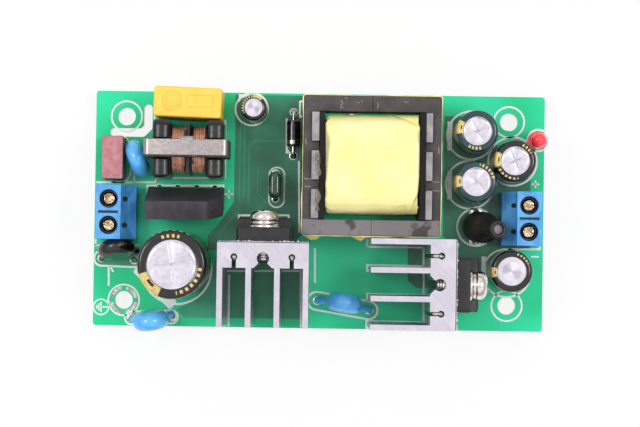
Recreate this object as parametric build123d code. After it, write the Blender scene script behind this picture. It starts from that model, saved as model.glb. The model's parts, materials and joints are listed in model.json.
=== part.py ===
from build123d import *
import math
import os

# Open-frame mains supply on a single green circuit board.
# Millimetres. +Z is up, X runs from the mains terminal to the output terminal.
# The origin is the middle of the four mounting holes, on the board's underside.

# Circuit board
board_thickness = 1.6
board_corner_r = 0.6
mount_hole_d = 3.5
mount_to_left_edge = 6.0
mount_to_right_edge = 7.0
mount_to_side_edge = 5.0
slot_width = 1.7
slot_to_top_edge = 3.4
slot_to_left_edge = 10.2
slot_tip_to_edge = 3.6
slot_to_fuse = 1.125
slot_rise = 1.1

# Leads, holes and solder
lead_tip_drop = 2.5
hole_clearance = 0.15
solder_height = 1.1
solder_rim = 0.55
solder_neck = 0.12
solder_gap = 0.02
close_gap = 0.02

# Mains fuse
fuse_length = 8.35
fuse_width = 4.1
fuse_height = 7.9
fuse_pitch = 5.08
fuse_lead_d = 0.6
fuse_base_height = 1.2
fuse_groove = 0.25
fuse_to_edge = 1.95
fuse_below_choke = 1.7

# Varistor
varistor_d = 7.4
varistor_thickness = 3.4
varistor_lift = 1.2
varistor_pitch = 5.0
varistor_lead_d = 0.6
varistor_coat_d = 1.5
varistor_to_fuse = 2.55
varistor_turn = -68.0
varistor_lean = 0.0

# Suppression capacitor
box_capacitor_length = 13.0
box_capacitor_width = 5.8
box_capacitor_height = 12.0
box_capacitor_pitch = 10.0
box_capacitor_lead_d = 0.8
box_capacitor_overhang = 0.1
box_capacitor_shift = -0.2
box_capacitor_foot = 1.2
box_capacitor_foot_height = 0.4
box_capacitor_turn = -1.8

# Common-mode choke
choke_length = 13.4
choke_width = 11.0
choke_block = 3.1
choke_base = 1.8
choke_axis_height = 6.4
choke_wall = 0.6
choke_flange_gap = 0.3
choke_winding_d = 9.2
choke_tube_wall = 0.85
choke_core_side = 3.4
choke_core_leg_gap = 4.0
choke_core_overhang = 1.1
choke_core_clearance = 0.05
choke_core_end_gap = 0.1
choke_strap_thickness = 0.3
choke_strap_width = 3.4
choke_strap_drop = 6.5
choke_tab_width = 2.4
choke_tab_reach = 0.6
choke_pitch_x = 10.2
choke_pitch_y = 8.0
choke_lead_d = 0.7
choke_to_varistor = 3.5
choke_to_box = 0.5

# Bridge rectifier
bridge_length = 14.8
bridge_thickness = 3.7
bridge_height = 10.6
bridge_chamfer = 2.9
bridge_lift = 1.6
bridge_lean = 17.0
bridge_pitch = 3.55
bridge_lead_width = 0.9
bridge_lead_thickness = 0.5
bridge_to_choke = 2.8
bridge_shift = -0.7

# Electrolytic capacitors: shared wrap
sleeve_thickness = 0.15
sleeve_clearance = 0.02
can_bead_depth = 0.35
can_bead_height = 1.1
can_bead_at = 2.2
can_crown = 0.5
bung_recess = 0.4
score_width = 0.3
score_depth = 0.12

# Bulk capacitor
bulk_d = 13.0
bulk_height = 20.5
bulk_pitch = 5.0
bulk_lead_d = 0.8
bulk_disc_d = 9.3
bulk_to_edge = 5.6
bulk_to_bridge = 7.4
bulk_shift = -1.5
bulk_turn = -40.0

# Output capacitors
output_can_d = 8.0
output_can_height = 12.0
output_can_pitch = 3.5
output_can_lead_d = 0.6
output_can_disc_d = 5.5
filter_to_core = 3.0
filter_to_top_edge = 3.5
filter_gap = 1.7
filter_b_shift = -0.1
filter_c_step = 7.3
filter_c_drop = 5.6
filter_c_to_edge = 2.6
filter_d_to_terminal = 0.95
filter_d_to_edge = 7.0

# Supply capacitor of the controller
small_can_d = 5.0
small_can_height = 11.0
small_can_pitch = 2.0
small_can_lead_d = 0.5
small_can_disc_d = 3.6
small_can_to_diode = 7.55
small_can_to_edge = 1.1
small_can_turn = 25.0

# Inrush thermistor
thermistor_d = 7.4
thermistor_thickness = 3.2
thermistor_lift = 1.3
thermistor_pitch = 7.0
thermistor_lead_d = 0.8
thermistor_coat_d = 1.3
thermistor_to_edge = 5.1
thermistor_above_bulk = 1.7
thermistor_turn = 12.0
thermistor_lean = -14.0

# Safety capacitors
safety_disc_d = 7.2
safety_disc_thickness = 3.6
safety_disc_lift = 1.2
safety_lead_d = 0.6
safety_coat_d = 1.5
lead_bend = 0.5
coat_bend = 0.1
coat_start = 0.2
earth_capacitor_to_edge = 11.6
earth_capacitor_rise = 1.9
earth_capacitor_pitch = 7.4
earth_capacitor_turn = 8.0
earth_capacitor_lean = 8.0
bridge_capacitor_to_sink = 6.8
bridge_capacitor_rise = 4.7
disc_to_fins = 1.2
bridge_capacitor_pitch = 10.2
bridge_capacitor_turn = -9.5
bridge_capacitor_lean = -5.0

# Heat sinks: one extruded section, used twice
sink_width = 17.1
sink_base = 4.9
sink_depth = 16.0
sink_height = 23.0
sink_fin = 1.05
sink_fin_count = 4
sink_channel_r = 1.15
sink_channel_inset = 3.1
sink_pin_spacing = 10.8
sink_pin_d = 1.2
sink_pin_inset = 2.85
sink_pin_depth = 8.0
sink_pin_clearance = 0.04
sink_slot = 0.8
sink_corner_r = 0.4
primary_sink_to_bulk = 2.1
primary_sink_to_edge = 0.6
secondary_sink_past_core = 2.8
secondary_sink_to_edge = 0.5

# Power packages and their fasteners
package_width = 10.3
package_thickness = 4.7
package_tab_thickness = 2.7
package_body_height = 9.2
package_height = 15.8
package_lift = 4.4
package_hole_d = 3.3
package_hole_inset = 3.3
package_edge = 0.5
package_lead_pitch = 2.54
package_lead_width = 0.8
package_lead_thickness = 0.55
package_lead_setback = 2.6
screw_d = 3.0
screw_length = 8.0
screw_head_d = 5.5
screw_head_height = 2.1
screw_recess = 1.1
screw_thread_clearance = 0.04
flat_washer_d = 5.9
flat_washer_thickness = 0.5
spring_washer_d = 5.2
spring_washer_thickness = 0.8
spring_washer_gap = 0.5
washer_bore_d = 3.2

# Transformer
core_length = 26.2
core_width = 26.6
core_leg = 3.0
core_centre_leg = 6.6
core_thickness = 7.0
core_joint_gap = 0.02
core_centre_height = 10.2
core_to_package = 2.0
core_to_sink = 0.55
core_to_edge = 1.25
bobbin_wall = 0.8
bobbin_flange = 1.0
bobbin_clearance = 0.1
lug_reach = 1.5
lug_thickness = 0.8
lug_gap = 1.65
rail_height = 2.6
rail_depth = 4.6
rail_foot = 1.2
rail_margin = 0.8
winding_side_gap = 1.0
winding_height = 17.0
winding_round = 2.6
winding_end_gap = 0.05
tape_thickness = 0.12
tape_width = 6.0
transformer_pin_d = 0.7
transformer_pins_per_side = 5
transformer_pin_pitch = 4.0
transformer_pin_offset = 0.6

# Snubber diode
diode_d = 2.6
diode_length = 5.1
diode_pitch = 8.6
diode_lead_d = 0.75
diode_lift = 0.4
diode_to_core = 2.15
diode_to_top_edge = 7.95

# Film capacitor
film_length = 5.2
film_thickness = 2.5
film_height = 5.6
film_lift = 0.9
film_pitch = 5.0
film_lead_d = 0.5
film_to_diode = 3.35
film_below_diode = 10.25

# Output inductor
rod_core_d = 3.4
rod_core_height = 11.0
rod_flange_d = 4.6
rod_flange_height = 0.9
rod_winding_d = 4.5
rod_winding_gap = 0.05
rod_sleeve_thickness = 0.25
rod_sleeve_lap = 0.7
rod_lift = 1.0
rod_lean = 13.0
rod_pitch = 5.0
rod_lead_d = 0.8
rod_past_filter = 0.8
rod_below_filter = 8.3

# Indicator
led_d = 3.0
led_flange_d = 3.8
led_flange_height = 1.0
led_height = 5.2
led_lift = 3.0
led_pitch = 2.54
led_lead_side = 0.45
led_inset = 1.7
led_to_top_edge = 8.8

# Terminal blocks
terminal_pitch = 5.08
terminal_width = 10.4
terminal_depth = 7.4
terminal_height = 10.0
terminal_top_depth = 4.85
terminal_rear_height = 5.2
terminal_step = 1.0
terminal_inset = 1.15
terminal_screw_setback = 2.5
terminal_well_d = 3.6
terminal_well_depth = 2.0
terminal_shoulder = 0.8
terminal_cavity_width = 4.0
terminal_cavity_floor = 1.0
terminal_entry_height = 3.9
terminal_groove_width = 0.5
terminal_groove_depth = 0.5
terminal_groove_length = 3.8
probe_hole_d = 1.0
terminal_pin_width = 1.0
terminal_pin_setback = 6.1
tongue_thickness = 0.7
tongue_top = 4.3
tongue_width = 2.0
tongue_inset = 0.9
input_terminal_y = -0.95
output_terminal_y = -1.05

# Terminal screws and the cages they lift
clamp_screw_d = 2.4
clamp_screw_head_d = 3.0
clamp_screw_head_height = 1.0
clamp_recess_depth = 0.6
clamp_screw_gap = 0.05
clamp_bore_gap = 0.04
clamp_width = 3.8
clamp_depth = 4.0
clamp_wall = 0.5
clamp_top_wall = 1.1
clamp_rest_gap = 0.2

# Small parts on the underside
chip_standoff = 0.1
chip_chamfer = 0.25
chip_leg_thickness = 0.2
chip_leg_width = 0.4
controller_size = (4.9, 3.9, 1.45)
controller_span = 6.0
controller_pitch = 1.27
controller_from_film = (-5.9, 6.2)
coupler_size = (4.4, 2.6, 2.1)
coupler_span = 7.0
coupler_pitch = 2.54
coupler_above_capacitor = 8.1
regulator_size = (2.9, 1.3, 1.0)
regulator_span = 2.4
regulator_pitch = 1.9
regulator_from_filter = (-3.0, 4.6)
chip_resistor_size = (2.0, 1.25, 0.5)
chip_capacitor_size = (2.0, 1.25, 0.9)

# Layout along the board, chained from the left edge
fuse_u = fuse_to_edge + fuse_width / 2
varistor_u = fuse_u + fuse_width / 2 + varistor_to_fuse
choke_u = varistor_u + choke_to_varistor + choke_length / 2
bridge_u = choke_u + bridge_shift
bulk_u = bridge_u + bulk_shift
primary_sink_u = bulk_u + bulk_d / 2 + primary_sink_to_bulk + sink_width / 2
core_u = primary_sink_u + package_width / 2 + core_to_package
bridge_capacitor_u = primary_sink_u + sink_width / 2 + bridge_capacitor_to_sink
fin_tip_u = bridge_capacitor_u + safety_disc_d / 2 + disc_to_fins
output_u = max(core_u + core_length, fin_tip_u + sink_depth - secondary_sink_past_core)
filter_u = output_u + filter_to_core + output_can_d / 2
board_length = filter_u + filter_c_step + output_can_d / 2 + filter_c_to_edge

# Layout across the board: as wide as the wider of two columns of parts needs
mains_column = (
    bulk_to_edge + bulk_d + bulk_to_bridge + bridge_to_choke + choke_width + choke_to_box
    + box_capacitor_width - box_capacitor_overhang
)
core_column = secondary_sink_to_edge + sink_width + core_to_sink + core_width + core_to_edge
board_width = max(mains_column, core_column)

# Places, from the middle of the mounting holes
mount_pitch_x = board_length - mount_to_left_edge - mount_to_right_edge
mount_pitch_y = board_width - 2 * mount_to_side_edge
board_left = -mount_pitch_x / 2 - mount_to_left_edge
board_right = board_left + board_length
board_back = board_width / 2
board_front = -board_width / 2
box_y = board_back + box_capacitor_overhang - box_capacitor_width / 2
choke_y = box_y - box_capacitor_width / 2 - choke_to_box - choke_width / 2
bulk_y = board_front + bulk_to_edge + bulk_d / 2
box_capacitor_at = (board_left + choke_u + box_capacitor_shift, box_y)
choke_at = (board_left + choke_u, choke_y)
fuse_at = (board_left + fuse_u, choke_y - fuse_below_choke)
varistor_at = (board_left + varistor_u, choke_y - fuse_below_choke)
bridge_at = (board_left + bridge_u, choke_y - choke_width / 2 - bridge_to_choke)
bulk_at = (board_left + bulk_u, bulk_y)
thermistor_at = (board_left + thermistor_to_edge, bulk_y + thermistor_above_bulk)
earth_capacitor_at = (board_left + earth_capacitor_to_edge, board_front + earth_capacitor_rise)
primary_sink_at = (board_left + primary_sink_u, board_front + primary_sink_to_edge + sink_depth)
bridge_capacitor_at = (board_left + bridge_capacitor_u, board_front + bridge_capacitor_rise)
transformer_at = (board_left + core_u + core_length / 2, board_back - core_to_edge - core_width / 2)
secondary_sink_at = (
    board_left + output_u + secondary_sink_past_core,
    board_front + secondary_sink_to_edge + sink_width / 2,
)
diode_at = (board_left + core_u - diode_to_core, board_back - diode_to_top_edge)
film_at = (diode_at[0] - film_to_diode, diode_at[1] - film_below_diode)
small_can_at = (diode_at[0] - small_can_to_diode, board_back - small_can_to_edge - small_can_d / 2)
filter_a_at = (board_left + filter_u, board_back - filter_to_top_edge - output_can_d / 2)
filter_b_at = (filter_a_at[0] + filter_b_shift, filter_a_at[1] - output_can_d - filter_gap)
filter_c_at = (filter_a_at[0] + filter_c_step, filter_a_at[1] - filter_c_drop)
filter_d_at = (
    board_right - filter_d_to_edge,
    output_terminal_y - terminal_width / 2 - filter_d_to_terminal - output_can_d / 2,
)
rod_at = (filter_b_at[0] + rod_past_filter, filter_b_at[1] - rod_below_filter)
led_y = board_back - led_to_top_edge
controller_at = (film_at[0] + controller_from_film[0], film_at[1] + controller_from_film[1])
coupler_at = (bridge_capacitor_at[0], bridge_capacitor_at[1] + coupler_above_capacitor)
regulator_at = (filter_b_at[0] + regulator_from_filter[0], filter_b_at[1] + regulator_from_filter[1])
window_width = core_width - 2 * core_leg
winding_width = window_width - 2 * winding_side_gap
lug_width = (window_width - 2 * bobbin_clearance - 2 * lug_gap) / 3

# Other derived values
top = board_thickness
tip = -lead_tip_drop
choke_tube = choke_core_side + 2 * (choke_core_clearance + choke_tube_wall)
lead_sites = []


def place(shape, x=0.0, y=0.0, z=0.0, turn=0.0):
    """Turn a shape about its own upright axis, then carry it to a place."""
    return Pos(x, y, z) * Rot(0, 0, turn) * shape


def spot(at, turn, u, v=0.0):
    """Board coordinates of the point u along and v across a part turned about its centre."""
    a = math.radians(turn)
    return at[0] + u * math.cos(a) - v * math.sin(a), at[1] + u * math.sin(a) + v * math.cos(a)


def slab(x0, x1, y0, y1, z0, z1):
    """A box given by its limits."""
    return Pos((x0 + x1) / 2, (y0 + y1) / 2, (z0 + z1) / 2) * Box(x1 - x0, y1 - y0, z1 - z0)


def post(x, y, z0, z1, d):
    """An upright round bar given by its place, its two ends and its diameter."""
    return Pos(x, y, (z0 + z1) / 2) * Cylinder(d / 2, z1 - z0)


def turned(points):
    """A solid turned about the upright axis from a closed outline of radius and height."""
    outline = make_face(Plane.XZ * Polyline(*points, close=True))
    return revolve(outline, Axis.Z)


def keep_lead(at, width, thickness=None, turn=0.0):
    """Note where a lead passes the board, with its section, for the drilled hole and the solder.

    A round wire has only a width, its diameter."""
    lead_sites.append((at[0], at[1], width, thickness, turn))


def round_lead(at, top_z, d):
    """A straight wire down to the clipped tip, its place kept for the board hole and the solder."""
    keep_lead(at, d)
    return post(at[0], at[1], tip, top_z, d)


def flat_lead(at, top_z, width, thickness, turn=0.0):
    """A blanked flat leg down to the clipped tip, its place kept like a wire's."""
    keep_lead(at, width, thickness, turn)
    leg = Pos(0, 0, (tip + top_z) / 2) * Box(width, thickness, top_z - tip)
    return place(leg, at[0], at[1], 0, turn)


def bent_wire(points, d, bend):
    """A wire of one thickness along straight runs with a bend at each corner."""
    path = FilletPolyline(*points, radius=bend)
    start = Plane(origin=path @ 0, z_dir=path % 0)
    return sweep(start * Circle(d / 2), path)


def hole_d(width, thickness):
    """The drilled hole that a lead of this section passes."""
    across = width if thickness is None else math.hypot(width, thickness)
    return across + 2 * hole_clearance


# Board

def isolation_slot():
    """The routed gap under the fuse that lengthens the surface between the two mains lines."""
    bend_x = board_left + slot_to_left_edge
    row_y = fuse_at[1] + fuse_length / 2 + slot_to_fuse
    a = (bend_x, board_back - slot_to_top_edge)
    b = (bend_x, row_y + slot_rise)
    c = (bend_x - slot_rise, row_y)
    d = (board_left + slot_tip_to_edge, row_y)
    cut = None
    for p, q in ((a, b), (b, c), (c, d)):
        run = math.hypot(q[0] - p[0], q[1] - p[1])
        turn = math.degrees(math.atan2(q[1] - p[1], q[0] - p[0]))
        bar = SlotCenterToCenter(run, slot_width)
        piece = Pos((p[0] + q[0]) / 2, (p[1] + q[1]) / 2) * Rot(0, 0, turn) * bar
        cut = piece if cut is None else cut + piece
    return extrude(cut, top)


def circuit_board():
    """The board with its mounting holes, isolation slot and one drilled hole for each lead."""
    outline = RectangleRounded(board_length, board_width, board_corner_r)
    board = extrude(Pos((board_left + board_right) / 2, 0) * outline, top)
    holes = [
        Pos(sx * mount_pitch_x / 2, sy * mount_pitch_y / 2, top / 2) * Cylinder(mount_hole_d / 2, top)
        for sx in (-1, 1)
        for sy in (-1, 1)
    ]
    for x, y, width, thickness, turn in lead_sites:
        holes.append(Pos(x, y, top / 2) * Cylinder(hole_d(width, thickness) / 2, top))
    return board - isolation_slot() - holes


def solder_joints():
    """One cone of solder round each lead on the underside."""
    joints = []
    for x, y, width, thickness, turn in lead_sites:
        base_r = hole_d(width, thickness) / 2 + solder_rim
        neck_r = hole_d(width, thickness) / 2 + solder_neck
        cone = Pos(x, y, -solder_height / 2) * Cone(neck_r, base_r, solder_height)
        if thickness is None:
            bore = post(x, y, -solder_height, 0, width + 2 * solder_gap)
        else:
            bore = Box(width + 2 * solder_gap, thickness + 2 * solder_gap, 2 * solder_height)
            bore = place(bore, x, y, 0, turn)
        joints.append(cone - bore)
    return joints


# Mains side

def fuse():
    """A boxed fuse: cap and base in one potted block on two wires."""
    body = Pos(0, 0, fuse_height / 2) * Box(fuse_width, fuse_length, fuse_height)
    body = fillet(body.edges().filter_by(Axis.Z), 0.35)
    body = fillet(body.faces().sort_by(Axis.Z)[-1].edges(), 0.25)
    ring = Box(fuse_width, fuse_length, fuse_groove)
    ring -= Box(fuse_width - 2 * fuse_groove, fuse_length - 2 * fuse_groove, fuse_groove)
    body -= Pos(0, 0, fuse_base_height) * ring
    part = place(body, fuse_at[0], fuse_at[1], top)
    for side in (-1, 1):
        part += round_lead((fuse_at[0], fuse_at[1] + side * fuse_pitch / 2), top + 0.1, fuse_lead_d)
    return part


def coated_disc(d, thickness, at, turn, lean, lift, pitch, lead_d, coat_d):
    """A dipped disc standing on two kinked wires, the coating running down onto both.

    The disc is a lens turned about its own level axis, stood on edge and leant over."""
    r = d / 2
    flat = r * 0.5
    nose = thickness / 2
    outline = Polyline((0, -nose), (flat, -nose)) + ThreePointArc(
        (flat, -nose), (r, 0), (flat, nose)
    ) + Polyline((flat, nose), (0, nose), (0, -nose))
    lens = revolve(make_face(Plane.XZ * outline), Axis.Z)
    lens = Pos(0, 0, r + lift) * Rot(90, 0, 0) * lens
    lens = Rot(lean, 0, 0) * lens
    body = place(lens, at[0], at[1], top, turn)
    shoulder = min(pitch / 2, r * 0.62)
    for side in (-1, 1):
        foot = spot(at, turn, side * pitch / 2)
        rise = lift + r * 0.45
        inner = spot(at, turn, side * shoulder * 0.8, -math.sin(math.radians(lean)) * rise)
        leg = bent_wire(
            (
                (foot[0], foot[1], tip),
                (foot[0], foot[1], top + lift * 0.55),
                (inner[0], inner[1], top + rise),
            ),
            lead_d,
            lead_d * lead_bend,
        )
        keep_lead(foot, lead_d)
        coat = bent_wire(
            (
                (foot[0], foot[1], top + lift * coat_start),
                (foot[0], foot[1], top + lift * 0.55),
                (inner[0], inner[1], top + rise),
            ),
            coat_d,
            coat_d * coat_bend,
        )
        body = body + leg + coat
    return body


def varistor():
    """The surge absorber: a dipped disc between fuse and choke."""
    return coated_disc(
        varistor_d, varistor_thickness, varistor_at, varistor_turn, varistor_lean,
        varistor_lift, varistor_pitch, varistor_lead_d, varistor_coat_d,
    )


def suppression_capacitor():
    """A boxed film capacitor, moulded square with small standing feet at its ends."""
    length, width, height = box_capacitor_length, box_capacitor_width, box_capacitor_height
    body = Pos(0, 0, height / 2) * Box(length, width, height)
    body = fillet(body.edges().filter_by(Axis.Z), 0.5)
    body = fillet(body.faces().sort_by(Axis.Z)[-1].edges(), 0.4)
    foot = box_capacitor_foot_height
    body -= Pos(0, 0, foot / 2) * Box(length - 2 * box_capacitor_foot, width, foot)
    part = place(body, box_capacitor_at[0], box_capacitor_at[1], top, box_capacitor_turn)
    for side in (-1, 1):
        at = spot(box_capacitor_at, box_capacitor_turn, side * box_capacitor_pitch / 2)
        part += round_lead(at, top + 0.6, box_capacitor_lead_d)
    return part


def choke_frame():
    """Heights and lengths that the choke's pieces share.

    The axis of the coils, the inner face of an end block, the top leg's axis, the core's end."""
    axis_z = top + choke_axis_height
    inner = choke_length / 2 - choke_block
    upper = axis_z + choke_core_side + choke_core_leg_gap
    core_end = choke_length / 2 + choke_core_end_gap + choke_core_overhang
    return axis_z, inner, upper, core_end


def choke_bobbin():
    """A moulded former: square tube, two end blocks that hold the pins and a dividing wall."""
    axis_z, inner, upper, core_end = choke_frame()
    x, y = choke_at
    half = choke_length / 2
    part = Pos(x, y, axis_z) * Box(choke_length, choke_tube, choke_tube)
    block_top = upper - choke_core_side / 2 - choke_core_clearance
    tall = block_top - top
    for side in (-1, 1):
        x0, x1 = sorted((x + side * inner, x + side * half))
        block = slab(x0, x1, y - choke_width / 2, y + choke_width / 2, top, block_top)
        block = fillet(block.edges().filter_by(Axis.Z), 0.5)
        notch = Box(2 * choke_base, choke_width * 0.45, 2 * choke_base)
        part += block - Pos(x + side * half, y, top) * notch
        flange = Box(choke_wall, choke_width - choke_wall, tall)
        part += Pos(x + side * (inner + choke_wall / 2), y, top + tall / 2) * flange
    divider = tall - choke_base * 0.6
    part += Pos(x, y, block_top - divider / 2) * Box(choke_wall, choke_width - 2 * choke_wall, divider)
    bore = choke_core_side + 2 * choke_core_clearance
    part -= Pos(x, y, axis_z) * Box(2 * choke_length, bore, bore)
    return part


def choke_windings():
    """Two equal coils, one each side of the dividing wall, wound round the square tube."""
    axis_z, inner, upper, core_end = choke_frame()
    x, y = choke_at
    run = inner - choke_wall / 2 - 2 * choke_flange_gap
    coils = []
    for side in (-1, 1):
        centre = x + side * (choke_wall / 2 + choke_flange_gap + run / 2)
        section = RectangleRounded(choke_winding_d, choke_winding_d, choke_winding_d * 0.38)
        section -= Rectangle(choke_tube + close_gap, choke_tube + close_gap)
        coil = extrude(Plane.YZ * section, run / 2, both=True)
        coils.append(Pos(centre, y, axis_z) * coil)
    return coils


def choke_core():
    """Two U-shaped ferrite halves that meet inside the former and above the coils."""
    axis_z, inner, upper, core_end = choke_frame()
    x, y = choke_at
    half = choke_core_side / 2
    halves = []
    for side in (-1, 1):
        x0, x1 = sorted((x + side * core_joint_gap / 2, x + side * core_end))
        b0, b1 = sorted((x + side * (choke_length / 2 + choke_core_end_gap), x + side * core_end))
        lower_leg = slab(x0, x1, y - half, y + half, axis_z - half, axis_z + half)
        upper_leg = slab(x0, x1, y - half, y + half, upper - half, upper + half)
        back = slab(b0, b1, y - half, y + half, axis_z - half, upper)
        halves.append(lower_leg + upper_leg + back)
    return halves


def choke_clip():
    """A spring-steel strap over the top leg, its ends turned down over the core's ends."""
    axis_z, inner, upper, core_end = choke_frame()
    x, y = choke_at
    t = choke_strap_thickness
    out = core_end + close_gap
    seat = upper + choke_core_side / 2 + close_gap
    low = seat - choke_strap_drop
    half = choke_strap_width / 2
    outer = slab(x - out - t, x + out + t, y - half, y + half, low, seat + t)
    outer = fillet(outer.edges().filter_by(Axis.Y).group_by(Axis.Z)[-1], 2 * t)
    clip = outer - slab(x - out, x + out, y - choke_width, y + choke_width, low - 1, seat)
    tab = choke_tab_width / 2
    clip += slab(x - tab, x + tab, y + half, y + half + choke_tab_reach, seat, seat + t)
    return clip


def choke_pins():
    """Four tinned pins set in the end blocks."""
    x, y = choke_at
    pins = []
    for sx in (-1, 1):
        for sy in (-1, 1):
            at = (x + sx * choke_pitch_x / 2, y + sy * choke_pitch_y / 2)
            pins.append(round_lead(at, top, choke_lead_d))
    return pins


def bridge_rectifier():
    """A flat moulded bridge on four blades, one corner cut at the positive end, leaning over."""
    outline = Polyline(
        (-bridge_length / 2, 0), (bridge_length / 2, 0),
        (bridge_length / 2, bridge_height - bridge_chamfer),
        (bridge_length / 2 - bridge_chamfer, bridge_height),
        (-bridge_length / 2, bridge_height), close=True,
    )
    body = extrude(make_face(Plane.XZ * outline), bridge_thickness / 2, both=True)
    body = fillet(body.edges().filter_by(Axis.Y), 0.3)
    body = Pos(0, 0, bridge_lift) * body
    body = Pos(bridge_at[0], bridge_at[1], top) * Rot(bridge_lean, 0, 0) * body
    shift = -math.sin(math.radians(bridge_lean)) * (bridge_lift + 0.6)
    for n in range(4):
        x = bridge_at[0] + (n - 1.5) * bridge_pitch
        y = bridge_at[1]
        keep_lead((x, y), bridge_lead_width, bridge_lead_thickness)
        straight = slab(
            x - bridge_lead_width / 2, x + bridge_lead_width / 2,
            y - bridge_lead_thickness / 2, y + bridge_lead_thickness / 2, tip, top + 0.35,
        )
        lean_part = Box(bridge_lead_width, bridge_lead_thickness, bridge_lift + 0.5)
        lean_part = Rot(bridge_lean, 0, 0) * Pos(0, 0, (bridge_lift + 0.5) / 2) * lean_part
        body += straight + Pos(x, y, top + 0.2) * lean_part
    return body


# Electrolytic capacitors

def can_outline(r, height):
    """Outside of a drawn aluminium can, from the rim at the bung to the crown."""
    low = can_bead_at - can_bead_height / 2
    high = can_bead_at + can_bead_height / 2
    return [
        (r, 0.25), (r, low), (r - can_bead_depth, can_bead_at), (r, high), (r, height - can_crown),
        (r - can_crown, height),
    ]


def electrolytic_can(d, height, pitch, lead_d, at, turn, scored):
    """Can, rubber bung and wires: the can is beaded above the bung and scored across the top."""
    r = d / 2 - sleeve_thickness - sleeve_clearance
    points = [(0, bung_recess), (r - 0.9, bung_recess), (r - 0.9, 0), (r - 0.25, 0)]
    points += can_outline(r, height) + [(0, height)]
    can = turned(points)
    if scored:
        for angle in (0, 90):
            bar = Box(d * 0.62, score_width, score_depth)
            can -= Pos(0, 0, height - score_depth / 2) * Rot(0, 0, angle) * bar
    can = place(can, at[0], at[1], top, turn)
    for side in (-1, 1):
        foot = spot(at, turn, side * pitch / 2)
        can += round_lead(foot, top + bung_recess + 0.1, lead_d)
    return can


def shrink_sleeve(d, height, disc_d, at):
    """A thin plastic sleeve shrunk round the can and over the edge of its top."""
    inner = d / 2 - sleeve_thickness
    t = sleeve_thickness
    inside = can_outline(inner, height + sleeve_clearance)
    points = [(inner, 0)] + inside + [(disc_d / 2, height + sleeve_clearance)]
    points += [(disc_d / 2, height + sleeve_clearance + t)]
    outside = [(r + t, z) for r, z in can_outline(inner, height + sleeve_clearance)]
    outside[-1] = (inner - can_crown + t * 0.6, height + sleeve_clearance + t)
    outside[-2] = (inner + t, height - can_crown + t * 0.6)
    points += outside[::-1] + [(inner + t, 0)]
    return Pos(at[0], at[1], top) * turned(points)


# Thermistor and safety capacitors

def inrush_thermistor():
    """A black dipped disc that leans in under the bulk capacitor."""
    return coated_disc(
        thermistor_d, thermistor_thickness, thermistor_at, thermistor_turn, thermistor_lean,
        thermistor_lift, thermistor_pitch, thermistor_lead_d, thermistor_coat_d,
    )


def earth_capacitor():
    """The safety capacitor beside the earthed mounting hole."""
    return coated_disc(
        safety_disc_d, safety_disc_thickness, earth_capacitor_at, earth_capacitor_turn,
        earth_capacitor_lean, safety_disc_lift, earth_capacitor_pitch, safety_lead_d, safety_coat_d,
    )


def bridging_capacitor():
    """The safety capacitor that bridges the mains side and the output side."""
    return coated_disc(
        safety_disc_d, safety_disc_thickness, bridge_capacitor_at, bridge_capacitor_turn,
        bridge_capacitor_lean, safety_disc_lift, bridge_capacitor_pitch, safety_lead_d, safety_coat_d,
    )


# Heat sinks

def sink_section():
    """The extruded comb, mounting face on the +Y side of its own origin, fins towards -Y.

    Between two fins the base is cut by a round channel in the middle and by two keyholes
    that grip the solder pins."""
    half = sink_width / 2
    base = Pos(0, -sink_base / 2) * Rectangle(sink_width, sink_base)
    section = base
    step = (sink_width - sink_fin) / (sink_fin_count - 1)
    for n in range(sink_fin_count):
        x = -half + sink_fin / 2 + n * step
        section += Pos(x, -sink_depth / 2) * Rectangle(sink_fin, sink_depth)
    throat = sink_base - sink_channel_inset
    section -= Pos(0, -sink_channel_inset) * Circle(sink_channel_r)
    section -= Pos(0, -sink_base + throat / 2) * Rectangle(sink_channel_r * 1.5, throat)
    flare = Polyline(
        (-sink_channel_r * 1.5, -sink_base - 0.01), (sink_channel_r * 1.5, -sink_base - 0.01),
        (0, -sink_base + sink_channel_r * 1.5), close=True,
    )
    section -= make_face(flare)
    for side in (-1, 1):
        x = side * sink_pin_spacing / 2
        section -= Pos(x, -sink_pin_inset) * Circle(sink_pin_d / 2 + sink_pin_clearance)
        mouth = sink_base - sink_pin_inset
        section -= Pos(x, -sink_base + mouth / 2) * Rectangle(sink_slot, mouth)
    return section


def heat_sink(at, turn):
    """A cut length of the comb with a tapped hole for the package screw."""
    sink = extrude(sink_section(), sink_height)
    corners = sink.edges().filter_by(Axis.Z).group_by(Axis.Y)[-1]
    sink = fillet(corners, sink_corner_r)
    hole = Rot(90, 0, 0) * Cylinder(screw_d / 2 + screw_thread_clearance, 2 * sink_base + 1)
    sink -= Pos(0, 0, screw_height() - top) * hole
    return place(sink, at[0], at[1], top, turn)


def screw_height():
    """Height of the package screw's axis above the board's underside."""
    return top + package_lift + package_height - package_hole_inset


def sink_pins():
    """Pins pressed into the keyholes from below and soldered through the board."""
    pins = []
    for at, turn in ((primary_sink_at, 0.0), (secondary_sink_at, -90.0)):
        for side in (-1, 1):
            spot_at = spot(at, turn, side * sink_pin_spacing / 2, -sink_pin_inset)
            pins.append(round_lead(spot_at, top + sink_pin_depth, sink_pin_d))
    return pins


# Power packages

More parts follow.
